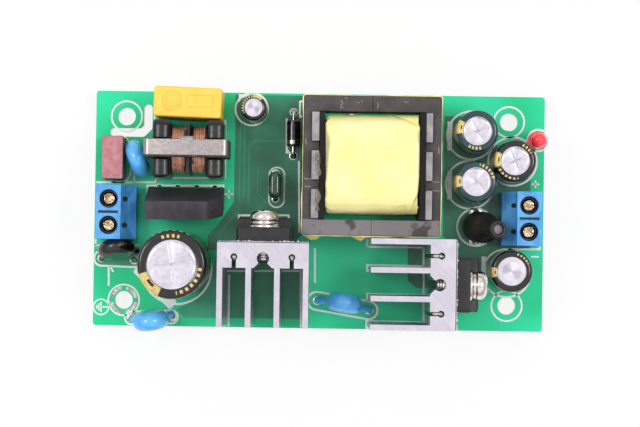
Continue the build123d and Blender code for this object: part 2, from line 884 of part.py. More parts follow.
def power_package(at, turn):
    """A fully moulded package: thick body, thinner mounting end with a hole, three legs."""
    body_box = Box(package_width, package_thickness, package_body_height)
    body = Pos(0, package_thickness / 2, package_lift + package_body_height / 2) * body_box
    tab_box = Box(package_width, package_tab_thickness, package_height)
    tab = Pos(0, package_tab_thickness / 2, package_lift + package_height / 2) * tab_box
    part = body + tab
    part = chamfer(part.faces().sort_by(Axis.Z)[-1].edges().filter_by(Axis.Y), package_edge)
    part = chamfer(part.faces().sort_by(Axis.Y)[-1].edges(), package_edge * 0.7)
    hole_z = package_lift + package_height - package_hole_inset
    hole = Rot(90, 0, 0) * Cylinder(package_hole_d / 2, 3 * package_thickness)
    part -= Pos(0, 0, hole_z) * hole
    part = place(part, at[0], at[1], top, turn)
    for n in (-1, 0, 1):
        foot = spot(at, turn, n * package_lead_pitch, package_lead_setback)
        part += flat_lead(foot, top + package_lift + 0.5, package_lead_width, package_lead_thickness, turn)
    return part


def along_screw(shape, at, turn, out):
    """Carry a fastener, drawn with its axis upright, to the screw's axis at a distance from the sink."""
    return place(Pos(0, out, 0) * Rot(-90, 0, 0) * shape, at[0], at[1], screw_height(), turn)


def package_fasteners(at, turn):
    """Flat washer, split spring washer and pan-head screw, stacked on the package."""
    seat = package_tab_thickness
    flat = Cylinder(flat_washer_d / 2, flat_washer_thickness)
    flat -= Cylinder(washer_bore_d / 2, 2 * flat_washer_thickness)
    flat = along_screw(flat, at, turn, seat + flat_washer_thickness / 2)
    seat += flat_washer_thickness
    ring = Cylinder(spring_washer_d / 2, spring_washer_thickness)
    ring -= Cylinder(washer_bore_d / 2, 2 * spring_washer_thickness)
    ring -= Pos(spring_washer_d / 3, 0, 0) * Rot(25, 0, 0) * Box(
        spring_washer_d / 2, spring_washer_gap, 3 * spring_washer_thickness
    )
    ring = along_screw(ring, at, turn, seat + spring_washer_thickness / 2)
    seat += spring_washer_thickness
    head = Pos(0, 0, screw_head_height / 2) * Cylinder(screw_head_d / 2, screw_head_height)
    head = fillet(head.faces().sort_by(Axis.Z)[-1].edges(), 0.6)
    for angle in (0, 90):
        bar = Box(screw_head_d * 0.6, 0.8, screw_recess)
        head -= Pos(0, 0, screw_head_height - screw_recess / 2) * Rot(0, 0, angle) * bar
    shank = Pos(0, 0, -screw_length / 2) * Cylinder(screw_d / 2, screw_length)
    screw = along_screw(head + shank, at, turn, seat)
    return screw, ring, flat


# Transformer

def core_half(side):
    """One E-shaped ferrite half, lying flat, its open side towards the joint."""
    x, y = transformer_at
    z = top + core_centre_height
    joint = x + side * core_joint_gap / 2
    end = x + side * core_length / 2
    x0, x1 = sorted((joint, end))
    low, high = z - core_thickness / 2, z + core_thickness / 2
    block = slab(x0, x1, y - core_width / 2, y + core_width / 2, low, high)
    for across in (-1, 1):
        w0 = y + across * core_centre_leg / 2
        w1 = y + across * (core_width / 2 - core_leg)
        inner = end - side * core_leg
        wx0, wx1 = sorted((joint - side * 1.0, inner))
        wy0, wy1 = sorted((w0, w1))
        block -= slab(wx0, wx1, wy0, wy1, low, high)
    return block


def bobbin_inside():
    """Half the window length between the two yokes, and the tube's half sizes."""
    window = core_length / 2 - core_leg - bobbin_clearance
    tube_y = core_centre_leg / 2 + bobbin_clearance + bobbin_wall
    tube_z = core_thickness / 2 + bobbin_clearance + bobbin_wall
    return window, tube_y, tube_z


def transformer_bobbin():
    """The moulded former: tube, two flanges, pin rails below and three lugs over each yoke."""
    window, tube_y, tube_z = bobbin_inside()
    x, y = transformer_at
    z = top + core_centre_height
    part = Pos(x, y, z) * Box(2 * window, 2 * tube_y, 2 * tube_z)
    flange_y = core_width / 2 - core_leg - bobbin_clearance
    lug_low = z + core_thickness / 2 + bobbin_clearance
    lug_high = lug_low + lug_thickness
    for side in (-1, 1):
        f0, f1 = sorted((x + side * window, x + side * (window - bobbin_flange)))
        part += slab(f0, f1, y - flange_y, y + flange_y, top + rail_height * 0.5, lug_high)
        for n in (-1, 0, 1):
            centre = y + n * (flange_y - lug_width / 2)
            l0, l1 = sorted((x + side * (window - bobbin_flange), x + side * (window + lug_reach)))
            part += slab(l0, l1, centre - lug_width / 2, centre + lug_width / 2, lug_low, lug_high)
        rail_in = window - bobbin_flange
        r0, r1 = sorted((x + side * rail_in, x + side * (rail_in + rail_depth)))
        rail_y = transformer_pin_pitch * (transformer_pins_per_side - 1) / 2 + rail_margin + rail_foot
        part += slab(r0, r1, y - rail_y, y + rail_y, top + 0.5, top + rail_height)
        for end in (-1, 1):
            e = y + end * (rail_y - rail_foot / 2)
            part += slab(r0, r1, e - rail_foot / 2, e + rail_foot / 2, top, top + rail_height)
    inner_y = core_centre_leg / 2 + bobbin_clearance
    inner_z = core_thickness / 2 + bobbin_clearance
    part -= Pos(x, y, z) * Box(2 * core_length, 2 * inner_y, 2 * inner_z)
    return part


def transformer_winding():
    """The coil under its outer wrap of tape: a rounded block with slightly drawn-in ends."""
    window, tube_y, tube_z = bobbin_inside()
    x, y = transformer_at
    z = top + core_centre_height
    half = window - bobbin_flange - winding_end_gap
    section = RectangleRounded(winding_width, winding_height, winding_round)
    coil = extrude(Plane.YZ * section, half, both=True)
    rims = coil.faces().filter_by(Axis.X).edges()
    coil = fillet(rims, 0.45)
    coil -= Box(2 * half + 1, 2 * tube_y + close_gap, 2 * tube_z + close_gap)
    return Pos(x, y, z) * coil


def transformer_core_tape():
    """The band of tape that holds the two halves together, round the outside of the core."""
    x, y = transformer_at
    z = top + core_centre_height
    t = tape_thickness
    gap = close_gap
    outer = RectangleRounded(core_length + 2 * (t + gap), core_width + 2 * (t + gap), 0.3)
    inner = Rectangle(core_length + 2 * gap, core_width + 2 * gap)
    band = extrude(outer - inner, tape_width / 2, both=True)
    return Pos(x, y, z) * band


def transformer_pins():
    """Two rows of pins set in the rails."""
    window = bobbin_inside()[0]
    x, y = transformer_at
    pins = []
    for side in (-1, 1):
        row = x + side * (window - bobbin_flange + rail_depth / 2 + transformer_pin_offset)
        for n in range(transformer_pins_per_side):
            line = y + (n - (transformer_pins_per_side - 1) / 2) * transformer_pin_pitch
            pins.append(round_lead((row, line), top + 0.5, transformer_pin_d))
    return pins


# Small parts on the top side

def snubber_diode():
    """A moulded axial diode lying across its two bent wires."""
    x, y = diode_at
    z = top + diode_lift + diode_d / 2
    body = Pos(x, y, z) * Rot(90, 0, 0) * Cylinder(diode_d / 2, diode_length)
    rims = body.edges()
    body = fillet(rims, 0.3)
    bend = diode_lead_d * 0.9
    wire = bent_wire(
        (
            (x, y - diode_pitch / 2, tip), (x, y - diode_pitch / 2, z),
            (x, y + diode_pitch / 2, z), (x, y + diode_pitch / 2, tip),
        ),
        diode_lead_d,
        bend,
    )
    for side in (-1, 1):
        keep_lead((x, y + side * diode_pitch / 2), diode_lead_d)
    return body + wire


def film_capacitor():
    """A dipped film capacitor: a flat lozenge on two wires."""
    x, y = film_at
    shape = SlotOverall(film_length, film_thickness)
    body = extrude(Rot(0, 0, 90) * shape, film_height)
    body = fillet(body.faces().sort_by(Axis.Z)[-1].edges(), film_thickness * 0.4)
    body = Pos(x, y, top + film_lift) * body
    for side in (-1, 1):
        foot = y + side * film_pitch / 2
        inner = y + side * (film_length / 2 - film_thickness / 2)
        z = top + film_lift
        keep_lead((x, foot), film_lead_d)
        body += bent_wire(
            ((x, foot, tip), (x, foot, z - 0.5), (x, inner, z + 0.8)), film_lead_d, 0.3
        )
    return body


def rod_place(shape):
    """Carry the inductor's pieces from upright to their leaning place."""
    return Pos(rod_at[0], rod_at[1], top) * Rot(0, rod_lean, 0) * Pos(0, 0, rod_lift) * shape


def inductor_core():
    """A ferrite bobbin core with a flange at each end, standing on two wires."""
    core = post(0, 0, 0, rod_core_height, rod_core_d)
    core += post(0, 0, 0, rod_flange_height, rod_flange_d)
    core += post(0, 0, rod_core_height - rod_flange_height, rod_core_height, rod_flange_d)
    core = rod_place(core)
    for side in (-1, 1):
        y = rod_at[1] + side * rod_pitch / 2
        keep_lead((rod_at[0], y), rod_lead_d)
        inner = rod_at[1] + side * (rod_core_d / 2 - 0.3)
        core += bent_wire(
            (
                (rod_at[0], y, tip), (rod_at[0], y, top + rod_lift * 0.45),
                (rod_at[0] + 0.35, inner, top + rod_lift + 0.5),
            ),
            rod_lead_d,
            0.25,
        )
    return core


def inductor_winding():
    """The single layer of thick wire between the flanges."""
    low = rod_flange_height + rod_winding_gap
    high = rod_core_height - rod_flange_height - rod_winding_gap
    coil = post(0, 0, low, high, rod_winding_d) - post(0, 0, low, high, rod_core_d + close_gap)
    return rod_place(coil)


def inductor_sleeve():
    """A black sleeve shrunk over the wound core, open at the top on the ferrite's end."""
    r = rod_flange_d / 2 + close_gap
    t = rod_sleeve_thickness
    high = rod_core_height + close_gap
    points = (
        (r, 0.2), (r + t, 0.2), (r + t, high - t), (r, high + t), (r - rod_sleeve_lap, high + t),
        (r - rod_sleeve_lap, high), (r, high),
    )
    return rod_place(turned(points))


def indicator_led():
    """A round-headed lamp on two square legs at the edge of the board."""
    x = board_right - led_inset
    base = top + led_lift
    lamp = post(x, led_y, base, base + led_height - led_d / 2, led_d)
    dome = Pos(x, led_y, base + led_height - led_d / 2) * Sphere(led_d / 2)
    lamp = lamp + dome + post(x, led_y, base, base + led_flange_height, led_flange_d)
    rim_top = base + led_flange_height
    lamp -= slab(x - led_flange_d, x + led_flange_d, led_y - led_flange_d, led_y - led_d / 2, base, rim_top)
    for side in (-1, 1):
        at = (x, led_y + side * led_pitch / 2)
        lamp += flat_lead(at, base + 0.3, led_lead_side, led_lead_side)
    return lamp


# Terminal blocks

def terminal_frames():
    """The two blocks: place of the front face's middle, and the turn that faces it outwards."""
    return (
        ("input", (board_left + terminal_inset, input_terminal_y), 180.0),
        ("output", (board_right - terminal_inset, output_terminal_y), 0.0),
    )


def poles():
    """The two poles' places across the block."""
    return (-terminal_pitch / 2, terminal_pitch / 2)


def cavity_roof():
    """Underside of the shoulder that holds the screw's head."""
    return terminal_height - terminal_well_depth - terminal_shoulder


def terminal_housing(at, turn):
    """The moulded block, wire entries at +X: wells from above, cage cavities from the front."""
    height, depth = terminal_height, terminal_depth
    outline = Polyline(
        (0, 0), (0, height), (-terminal_top_depth, height),
        (-terminal_top_depth, height - terminal_step), (-depth, terminal_rear_height),
        (-depth, 0), close=True,
    )
    block = extrude(make_face(Plane.XZ * outline), terminal_width / 2, both=True)
    block = fillet(block.faces().sort_by(Axis.Z)[-1].edges().filter_by(Axis.Y), 0.15)
    roof = cavity_roof()
    floor = terminal_cavity_floor
    half = terminal_cavity_width / 2
    clamp_back = -terminal_screw_setback - clamp_depth / 2 - 0.1
    screw_hole_d = clamp_screw_d + 2 * clamp_bore_gap
    for y in poles():
        well_z = terminal_height - terminal_well_depth
        block -= post(-terminal_screw_setback, y, well_z, height, terminal_well_d)
        block -= post(-terminal_screw_setback, y, roof, well_z, screw_hole_d)
        cavity_front = -terminal_screw_setback + clamp_depth / 2 + 0.1
        block -= slab(clamp_back, cavity_front, y - half, y + half, floor, roof)
        entry_top = floor + terminal_entry_height
        block -= slab(cavity_front, 0.5, y - half + 0.3, y + half - 0.3, floor + 0.2, entry_top)
        pin_half = tongue_width / 2 + 0.05
        pin_back = -terminal_pin_setback - terminal_pin_width / 2 - 0.05
        block -= slab(pin_back, clamp_back, y - pin_half, y + pin_half, 0, tongue_top + 0.05)
        block -= post(-terminal_pin_setback, y, tongue_top, height, probe_hole_d)
    groove_x = -terminal_top_depth / 2
    block -= slab(
        groove_x - terminal_groove_length / 2, groove_x + terminal_groove_length / 2,
        -terminal_groove_width / 2, terminal_groove_width / 2, height - terminal_groove_depth, height,
    )
    return place(block, at[0], at[1], top, turn)


def terminal_pin(at, turn, y):
    """One bent strip: a level tongue through the cage, then a leg down through the board."""
    low = tongue_top - tongue_thickness
    tongue = slab(
        -terminal_pin_setback - terminal_pin_width / 2, -tongue_inset,
        y - tongue_width / 2, y + tongue_width / 2, low, tongue_top,
    )
    foot = spot(at, turn, -terminal_pin_setback, y)
    leg = flat_lead(foot, top + tongue_top, terminal_pin_width, terminal_pin_width, turn)
    return place(tongue, at[0], at[1], top, turn) + leg


def clamp_screw(at, turn, y):
    """A captive terminal screw: its head turns on the shoulder, its tip on the tongue."""
    head_low = terminal_height - terminal_well_depth + clamp_screw_gap
    head_high = head_low + clamp_screw_head_height
    head = post(0, 0, head_low, head_high, clamp_screw_head_d)
    head = fillet(head.faces().sort_by(Axis.Z)[-1].edges(), 0.25)
    for angle in (0, 90):
        bar = Box(clamp_screw_head_d * 0.66, 0.55, clamp_recess_depth)
        head -= Pos(0, 0, head_high - clamp_recess_depth / 2) * Rot(0, 0, angle + 20) * bar
    shank = post(0, 0, tongue_top + clamp_screw_gap, head_low + 0.1, clamp_screw_d)
    where = spot(at, turn, -terminal_screw_setback, y)
    return place(head + shank, where[0], where[1], top, turn)


def clamp_cage(at, turn, y):
    """A steel cage round the tongue, tapped in its top wall; the screw draws it upwards."""
    low_of_top = tongue_top + clamp_rest_gap
    high = low_of_top + clamp_top_wall
    low = terminal_cavity_floor + clamp_rest_gap
    half_w, half_d = clamp_width / 2, clamp_depth / 2
    cage = slab(-half_d, half_d, -half_w, half_w, low, high)
    cage = fillet(cage.edges().filter_by(Axis.X), 0.4)
    opening = slab(
        -half_d - 1, half_d + 1, -half_w + clamp_wall, half_w - clamp_wall,
        low + clamp_wall, low_of_top,
    )
    cage -= opening
    cage -= post(0, 0, low_of_top - 0.5, high + 0.5, clamp_screw_d + 2 * clamp_bore_gap)
    where = spot(at, turn, -terminal_screw_setback, y)
    return place(cage, where[0], where[1], top, turn)


# Small parts under the board

def gull_wing_chip(size, span, at, turn, rows, lead_width):
    """A moulded chip under the board with bent legs along both sides.

    Each row gives its side, how many legs it has and how far apart they stand."""
    length, width, height = size
    body = Pos(0, 0, -chip_standoff - height / 2) * Box(length, width, height)
    body = chamfer(body.faces().sort_by(Axis.Z)[0].edges(), min(chip_chamfer, height / 5))
    shoulder = width / 2 + (span - width) / 4
    middle = -chip_standoff - height / 2
    t = chip_leg_thickness
    for side, count, pitch in rows:
        for n in range(count):
            x0 = (n - (count - 1) / 2) * pitch - lead_width / 2
            x1 = x0 + lead_width
            out = sorted((side * (width / 2 - t), side * shoulder))
            down = sorted((side * (shoulder - t), side * shoulder))
            foot = sorted((side * (shoulder - t), side * span / 2))
            body += slab(x0, x1, *out, middle - t / 2, middle + t / 2)
            body += slab(x0, x1, *down, middle - t / 2, 0)
            body += slab(x0, x1, *foot, -t, 0)
    return place(body, at[0], at[1], 0, turn)


def end_capped_chips(size, places):
    """Flat chips soldered under the board, each a plain block with its end caps drawn proud."""
    length, width, height = size
    cap = length * 0.2
    chips = []
    for x, y, turn in places:
        body = Pos(0, 0, -height / 2) * Box(length, width - 0.06, height - 0.06)
        for side in (-1, 1):
            body += Pos(side * (length - cap) / 2, 0, -height / 2) * Box(cap, width, height)
        chips.append(place(body, x, y, 0, turn))
    return chips


def beside(part_at, steps):
    """Places of chips, each given as steps along and across from a part and a turn."""
    return [(part_at[0] + dx, part_at[1] + dy, turn) for dx, dy, turn in steps]


chip_resistor_places = (
    beside(choke_at, ((0.7, 2.7, 0),))
    + beside(film_at, ((-8.3, 1.8, 90), (-3.9, 0.4, 0), (-0.5, 4.8, 90)))
    + beside(primary_sink_at, ((-5.85, 3.8, 0), (8.75, -6.0, 90)))
    + beside(filter_a_at, ((-4.0, -1.1, 90), (-6.4, -1.1, 90)))
    + beside(secondary_sink_at, ((-6.8, 5.75, 0), (6.6, 4.95, 90)))
    + beside(filter_c_at, ((-2.3, -5.0, 90), (-0.7, 6.5, 90)))
)
chip_capacitor_places = (
    beside(controller_at, ((-5.5, -0.4, 90), (6.0, 3.4, 90)))
    + beside(primary_sink_at, ((-2.85, 5.2, 90),))
    + beside(filter_b_at, ((-4.5, 0.4, 90),))
    + beside(secondary_sink_at, ((-8.6, 1.35, 90),))
)


def group(shapes):
    """Several separate solids that share one node."""
    solids = []
    for shape in shapes:
        solids.extend(shape.solids())
    return Compound(solids)


def assemble():
    """Every node of the supply by name; the board comes last, when all leads are known."""
    nodes = {}
    nodes["fuse"] = fuse()
    nodes["varistor"] = varistor()
    nodes["suppression_capacitor"] = suppression_capacitor()
    nodes["choke_bobbin"] = choke_bobbin()
    for side, coil in zip(("left", "right"), choke_windings()):
        nodes["choke_winding_" + side] = coil
    nodes["choke_core"] = group(choke_core())
    nodes["choke_clip"] = choke_clip()
    nodes["choke_pins"] = group(choke_pins())
    nodes["bridge_rectifier"] = bridge_rectifier()
    nodes["bulk_capacitor_can"] = electrolytic_can(
        bulk_d, bulk_height, bulk_pitch, bulk_lead_d, bulk_at, bulk_turn, True
    )
    nodes["bulk_capacitor_sleeve"] = shrink_sleeve(bulk_d, bulk_height, bulk_disc_d, bulk_at)
    nodes["inrush_thermistor"] = inrush_thermistor()
    nodes["earth_capacitor"] = earth_capacitor()
    nodes["bridging_capacitor"] = bridging_capacitor()
    nodes["primary_heatsink"] = heat_sink(primary_sink_at, 0.0)
    nodes["secondary_heatsink"] = heat_sink(secondary_sink_at, -90.0)
    nodes["heatsink_pins"] = group(sink_pins())
    nodes["switching_transistor"] = power_package(primary_sink_at, 0.0)
    nodes["output_rectifier"] = power_package(secondary_sink_at, -90.0)
    stacks = [package_fasteners(primary_sink_at, 0.0), package_fasteners(secondary_sink_at, -90.0)]
    for n, name in enumerate(("package_screws", "spring_washers", "flat_washers")):
        nodes[name] = group([stack[n] for stack in stacks])
    nodes["transformer_core_left"] = core_half(-1)
    nodes["transformer_core_right"] = core_half(1)
    nodes["transformer_bobbin"] = transformer_bobbin()
    nodes["transformer_winding"] = transformer_winding()
    nodes["transformer_core_tape"] = transformer_core_tape()
    nodes["transformer_pins"] = group(transformer_pins())
    nodes["supply_capacitor_can"] = electrolytic_can(
        small_can_d, small_can_height, small_can_pitch, small_can_lead_d, small_can_at,
        small_can_turn, False,
    )
    nodes["supply_capacitor_sleeve"] = shrink_sleeve(
        small_can_d, small_can_height, small_can_disc_d, small_can_at
    )
    sleeves = []
    filters = (
        ("a", filter_a_at, 0.0, True), ("b", filter_b_at, 0.0, True),
        ("c", filter_c_at, 30.0, True), ("d", filter_d_at, 0.0, False),
    )
    for letter, at, turn, scored in filters:
        nodes["output_capacitor_" + letter] = electrolytic_can(
            output_can_d, output_can_height, output_can_pitch, output_can_lead_d, at, turn, scored
        )
        sleeves.append(shrink_sleeve(output_can_d, output_can_height, output_can_disc_d, at))
    nodes["output_capacitor_sleeves"] = group(sleeves)
    nodes["snubber_diode"] = snubber_diode()
    nodes["film_capacitor"] = film_capacitor()
    nodes["inductor_core"] = inductor_core()
    nodes["inductor_winding"] = inductor_winding()
    nodes["inductor_sleeve"] = inductor_sleeve()
    nodes["indicator_led"] = indicator_led()
    strips = []
    for name, at, turn in terminal_frames():
        nodes[name + "_terminal_housing"] = terminal_housing(at, turn)
        for number, y in enumerate(poles(), start=1):
            nodes[f"{name}_terminal_screw_{number}"] = clamp_screw(at, turn, y)
            nodes[f"{name}_terminal_clamp_{number}"] = clamp_cage(at, turn, y)
            strips.append(terminal_pin(at, turn, y))
    nodes["terminal_pins"] = group(strips)
    nodes["controller_chip"] = gull_wing_chip(
        controller_size, controller_span, controller_at, 90.0,
        ((-1, 4, controller_pitch), (1, 4, controller_pitch)), chip_leg_width,
    )
    nodes["optocoupler"] = gull_wing_chip(
        coupler_size, coupler_span, coupler_at, 90.0,
        ((-1, 2, coupler_pitch), (1, 2, coupler_pitch)), chip_leg_width,
    )
    nodes["shunt_regulator"] = gull_wing_chip(
        regulator_size, regulator_span, regulator_at, 0.0,
        ((-1, 2, regulator_pitch), (1, 1, regulator_pitch)), chip_leg_width,
    )
    nodes["chip_resistors"] = group(end_capped_chips(chip_resistor_size, chip_resistor_places))
    nodes["chip_capacitors"] = group(end_capped_chips(chip_capacitor_size, chip_capacitor_places))
    nodes["solder_joints"] = group(solder_joints())
    nodes["circuit_board"] = circuit_board()
    return nodes


os.makedirs("parts", exist_ok=True)
for node_name, solid in assemble().items():
    export_step(solid, f"parts/{node_name}.step")
    box = solid.bounding_box()
    print(f"{node_name:28s} {len(solid.solids()):3d} solids {solid.volume:9.2f} mm3 "
          f"{box.size.X:6.2f} {box.size.Y:6.2f} {box.size.Z:6.2f}")
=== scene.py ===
# %% [markdown]
# An open mains supply on a green circuit board, seen from straight above.
# The CAD frame brings every solid in its true place. This lesson gives the solids their finishes,
# rounds their edges, and adds what CAD leaves out: printed lines, copper under the mask, solder,
# wound wire, tape, scored can tops and the marks on the sleeves.

# %% Load the frame
import json
import math

import bmesh
import bpy
import numpy as np
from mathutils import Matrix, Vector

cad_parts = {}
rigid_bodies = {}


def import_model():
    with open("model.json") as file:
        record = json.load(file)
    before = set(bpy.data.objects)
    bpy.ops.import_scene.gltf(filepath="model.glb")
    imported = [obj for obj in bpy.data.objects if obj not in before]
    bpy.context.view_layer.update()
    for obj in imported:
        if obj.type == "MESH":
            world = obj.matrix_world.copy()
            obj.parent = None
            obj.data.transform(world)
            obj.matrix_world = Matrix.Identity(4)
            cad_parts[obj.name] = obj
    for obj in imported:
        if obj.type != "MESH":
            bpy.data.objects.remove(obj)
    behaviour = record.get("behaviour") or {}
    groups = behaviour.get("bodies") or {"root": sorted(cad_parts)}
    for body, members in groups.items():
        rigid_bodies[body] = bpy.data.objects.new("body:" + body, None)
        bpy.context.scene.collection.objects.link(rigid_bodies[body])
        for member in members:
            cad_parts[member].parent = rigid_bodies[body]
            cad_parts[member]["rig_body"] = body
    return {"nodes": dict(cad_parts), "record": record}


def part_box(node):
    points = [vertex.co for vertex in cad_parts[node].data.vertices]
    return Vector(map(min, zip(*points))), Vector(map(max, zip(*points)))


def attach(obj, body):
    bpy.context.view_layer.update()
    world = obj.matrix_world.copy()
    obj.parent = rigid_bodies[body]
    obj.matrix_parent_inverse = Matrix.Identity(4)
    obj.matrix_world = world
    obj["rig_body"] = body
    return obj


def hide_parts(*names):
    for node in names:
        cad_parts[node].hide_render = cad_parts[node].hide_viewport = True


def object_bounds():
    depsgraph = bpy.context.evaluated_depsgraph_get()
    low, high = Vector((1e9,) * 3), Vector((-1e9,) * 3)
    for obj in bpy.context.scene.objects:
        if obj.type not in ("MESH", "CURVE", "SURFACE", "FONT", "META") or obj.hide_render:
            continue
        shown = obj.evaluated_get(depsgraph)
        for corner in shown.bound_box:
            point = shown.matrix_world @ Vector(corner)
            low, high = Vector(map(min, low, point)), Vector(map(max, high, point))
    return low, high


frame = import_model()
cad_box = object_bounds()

nodes = frame["nodes"]

# %% [markdown]
# Millimetres are easier to think in for a small board, so helpers take millimetres and scale to
# metres when a mesh is made. Board top is the level from which all parts rise. Copper and ink lie
# over it in layers a few hundredths of a millimetre thick.

# %% Units and main levels
MM = 0.001
BOARD_LOW, BOARD_TOP = (corner.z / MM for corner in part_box("circuit_board"))
MASK_RISE = 0.035
PRINT_RISE = 0.02
SUPPLY = "supply"
print("board between", round(BOARD_LOW, 3), "and", round(BOARD_TOP, 3), "mm")

# %% [markdown]
# The camera looks straight down from 45 cm with a long lens, a little off the board's middle.
# Its small tilts were worked out from the board's corners and the four holes.

# %% Camera
camera_data = bpy.data.cameras.new("top_camera")
camera_data.lens = 129.1
camera_data.sensor_width = 36.0
camera_data.clip_start = 0.01
camera = bpy.data.objects.new("top_camera", camera_data)
camera.location = (0.001866, -0.010145, 0.4516)
camera.rotation_euler = (0.02153, 0.00226, 0.01544)
bpy.context.scene.collection.objects.link(camera)
bpy.context.scene.camera = camera
print("camera at", tuple(round(v, 4) for v in camera.location))

# %% [markdown]
# Shader maths reads best as plain expressions. One small class wraps a socket, so that adding or
# multiplying two values adds the Math node that does it. Writing every Math node by hand would
# give the same tree, at five lines for each sum.


# %% A wrapper for shader expressions
class Wire:
    """One output socket of a node tree, with arithmetic that adds Math nodes."""

    def __init__(self, tree, socket):
        self.tree = tree
        self.socket = socket

    def _math(self, operation, *values):
        """The socket of one Math node fed with these values in their order."""
        return self.tree.node("ShaderNodeMath", {"operation": operation}, dict(enumerate(values)))

    def __add__(self, other):
        return self._math("ADD", self, other)

    __radd__ = __add__

    def __sub__(self, other):
        return self._math("SUBTRACT", self, other)

    def __rsub__(self, other):
        return self._math("SUBTRACT", other, self)

    def __mul__(self, other):
        return self._math("MULTIPLY", self, other)

    __rmul__ = __mul__

    def __truediv__(self, other):
        return self._math("DIVIDE", self, other)

    def __rtruediv__(self, other):
        return self._math("DIVIDE", other, self)

    def __pow__(self, other):
        return self._math("POWER", self, other)

    def abs(self):
        """The value without its sign."""
        return self._math("ABSOLUTE", self)

    def sin(self):
        """The sine of an angle in radians."""
        return self._math("SINE", self)

    def most(self, other):
        """The larger of two values."""
        return self._math("MAXIMUM", self, other)

    def turn_to(self, other):
        """The angle of the direction whose X part is this value and whose Y part is the other."""
        return self._math("ARCTAN2", other, self)

    def ramp(self, low, high):
        """0 below low, 1 above high and a smooth rise between; swapped ends give a fall."""
        inputs = {"Value": self, "From Min": low, "From Max": high}
        return self.tree.node("ShaderNodeMapRange", {"interpolation_type": "SMOOTHSTEP"}, inputs)


print("a wire knows", len([name for name in vars(Wire) if callable(vars(Wire)[name])]), "operations")

# %% [markdown]
# Any other node is added by one method, which takes the node's type, its settings and its inputs.
# Colours are blended by a Mix node and places scaled by Vector Math, because a Math node would
# turn them grey.


# %% A node tree and a material
class Tree:
    """A node tree being written."""

    def __init__(self, tree):
        self.tree = tree

    def node(self, kind, settings=None, inputs=None, output=0):
        """Adds a node: its settings first, then the values or links of its sockets."""
        node = self.tree.nodes.new(kind)
        for key, value in (settings or {}).items():
            if key == "stops":
                ramp = node.color_ramp
                for n, (place, color) in enumerate(value):
                    stop = ramp.elements[n] if n < 2 else ramp.elements.new(place)
                    stop.position = place
                    stop.color = (*color, 1.0)
            else:
                setattr(node, key, value)
        for key, value in (inputs or {}).items():
            self.feed(node.inputs[key], value)
        return Wire(self, node.outputs[output])

    def feed(self, socket, value):
        """Links a wire into a socket, or sets a plain value there."""
        if isinstance(value, Wire):
            self.tree.links.new(value.socket, socket)
        elif isinstance(value, tuple) and len(value) == 3 and len(socket.default_value) == 4:
            socket.default_value = (*value, 1.0)
        else:
            socket.default_value = value

    def place(self):
        """Object coordinates in millimetres."""
        at = self.node("ShaderNodeTexCoord", output="Object")
        return self.node("ShaderNodeVectorMath", {"operation": "SCALE"}, {0: at, "Scale": 1 / MM})

    def axes(self, vector=None):
        """The three numbers of a vector, the place when none is given."""
        split = self.node("ShaderNodeSeparateXYZ", {}, {0: self.place() if vector is None else vector})
        return [Wire(self, part) for part in split.socket.node.outputs]

    def upward(self):
        """How far the surface faces up: the upright part of its normal, 1 where it is level."""
        return self.axes(self.node("ShaderNodeNewGeometry", output="Normal"))[2]

    def noise(self, scale, detail=3.0, rough=0.5, stretch=(1.0, 1.0, 1.0), vector=None):
        """Cloudy noise with so many lumps for each millimetre, stretched along the axes."""
        source = self.place() if vector is None else vector
        scaled = self.node("ShaderNodeVectorMath", {"operation": "MULTIPLY"}, {0: source, 1: stretch})
        inputs = {"Vector": scaled, "Scale": scale, "Detail": detail, "Roughness": rough}
        return self.node("ShaderNodeTexNoise", {"noise_dimensions": "3D"}, inputs)

    def blend(self, factor, first, second):
        """One colour turning into another as the factor goes from 0 to 1."""
        inputs = {0: factor, 6: first, 7: second}
        return self.node("ShaderNodeMix", {"data_type": "RGBA"}, inputs, output=2)


class Paint(Tree):
    """A material being written: a Principled shader and the nodes that feed it."""

    def __init__(self, name, **constants):
        self.material = bpy.data.materials.new(name)
        self.material.use_nodes = True
        super().__init__(self.material.node_tree)
        self.shader = next(n for n in self.tree.nodes if n.type == "BSDF_PRINCIPLED")
        for socket, value in constants.items():
            self.shader.inputs[socket.replace("_", " ")].default_value = value
        self.bumps = None

    def put(self, socket, value):
        """Feeds one named socket of the shader."""
        self.feed(self.shader.inputs[socket], value)

    def color(self, value):
        """Feeds the base colour."""
        self.put("Base Color", value)

    def rough(self, value):
        """Feeds the roughness: 0 is a mirror, 1 is chalk."""
        self.put("Roughness", value)

    def metal(self, value):
        """Feeds the metallic share: 1 where the surface is bare metal."""
        self.put("Metallic", value)

    def bump(self, height, depth_mm):
        """Tilts the shading by a height from 0 to 1, of a depth in millimetres."""
        inputs = {"Height": height, "Distance": depth_mm * MM, "Strength": 1.0}
        if self.bumps is not None:
            inputs["Normal"] = self.bumps
        self.bumps = self.node("ShaderNodeBump", {}, inputs)
        self.put("Normal", self.bumps)


print("a finish is written with", ", ".join(name for name in vars(Paint) if name[0] != "_"))

# %% [markdown]
# The studio's floor is a sheet of pale paper. It turns white for the camera, and in mirrors and
# glass, by a Light Path mask of strength 1, and keeps a trace of shadow in the share that is left.

# %% Floor
FLOOR_Z = cad_box[0][2] - 0.0002
FLOOR_REACH = 1.2
WHITE_SHARE = 0.86


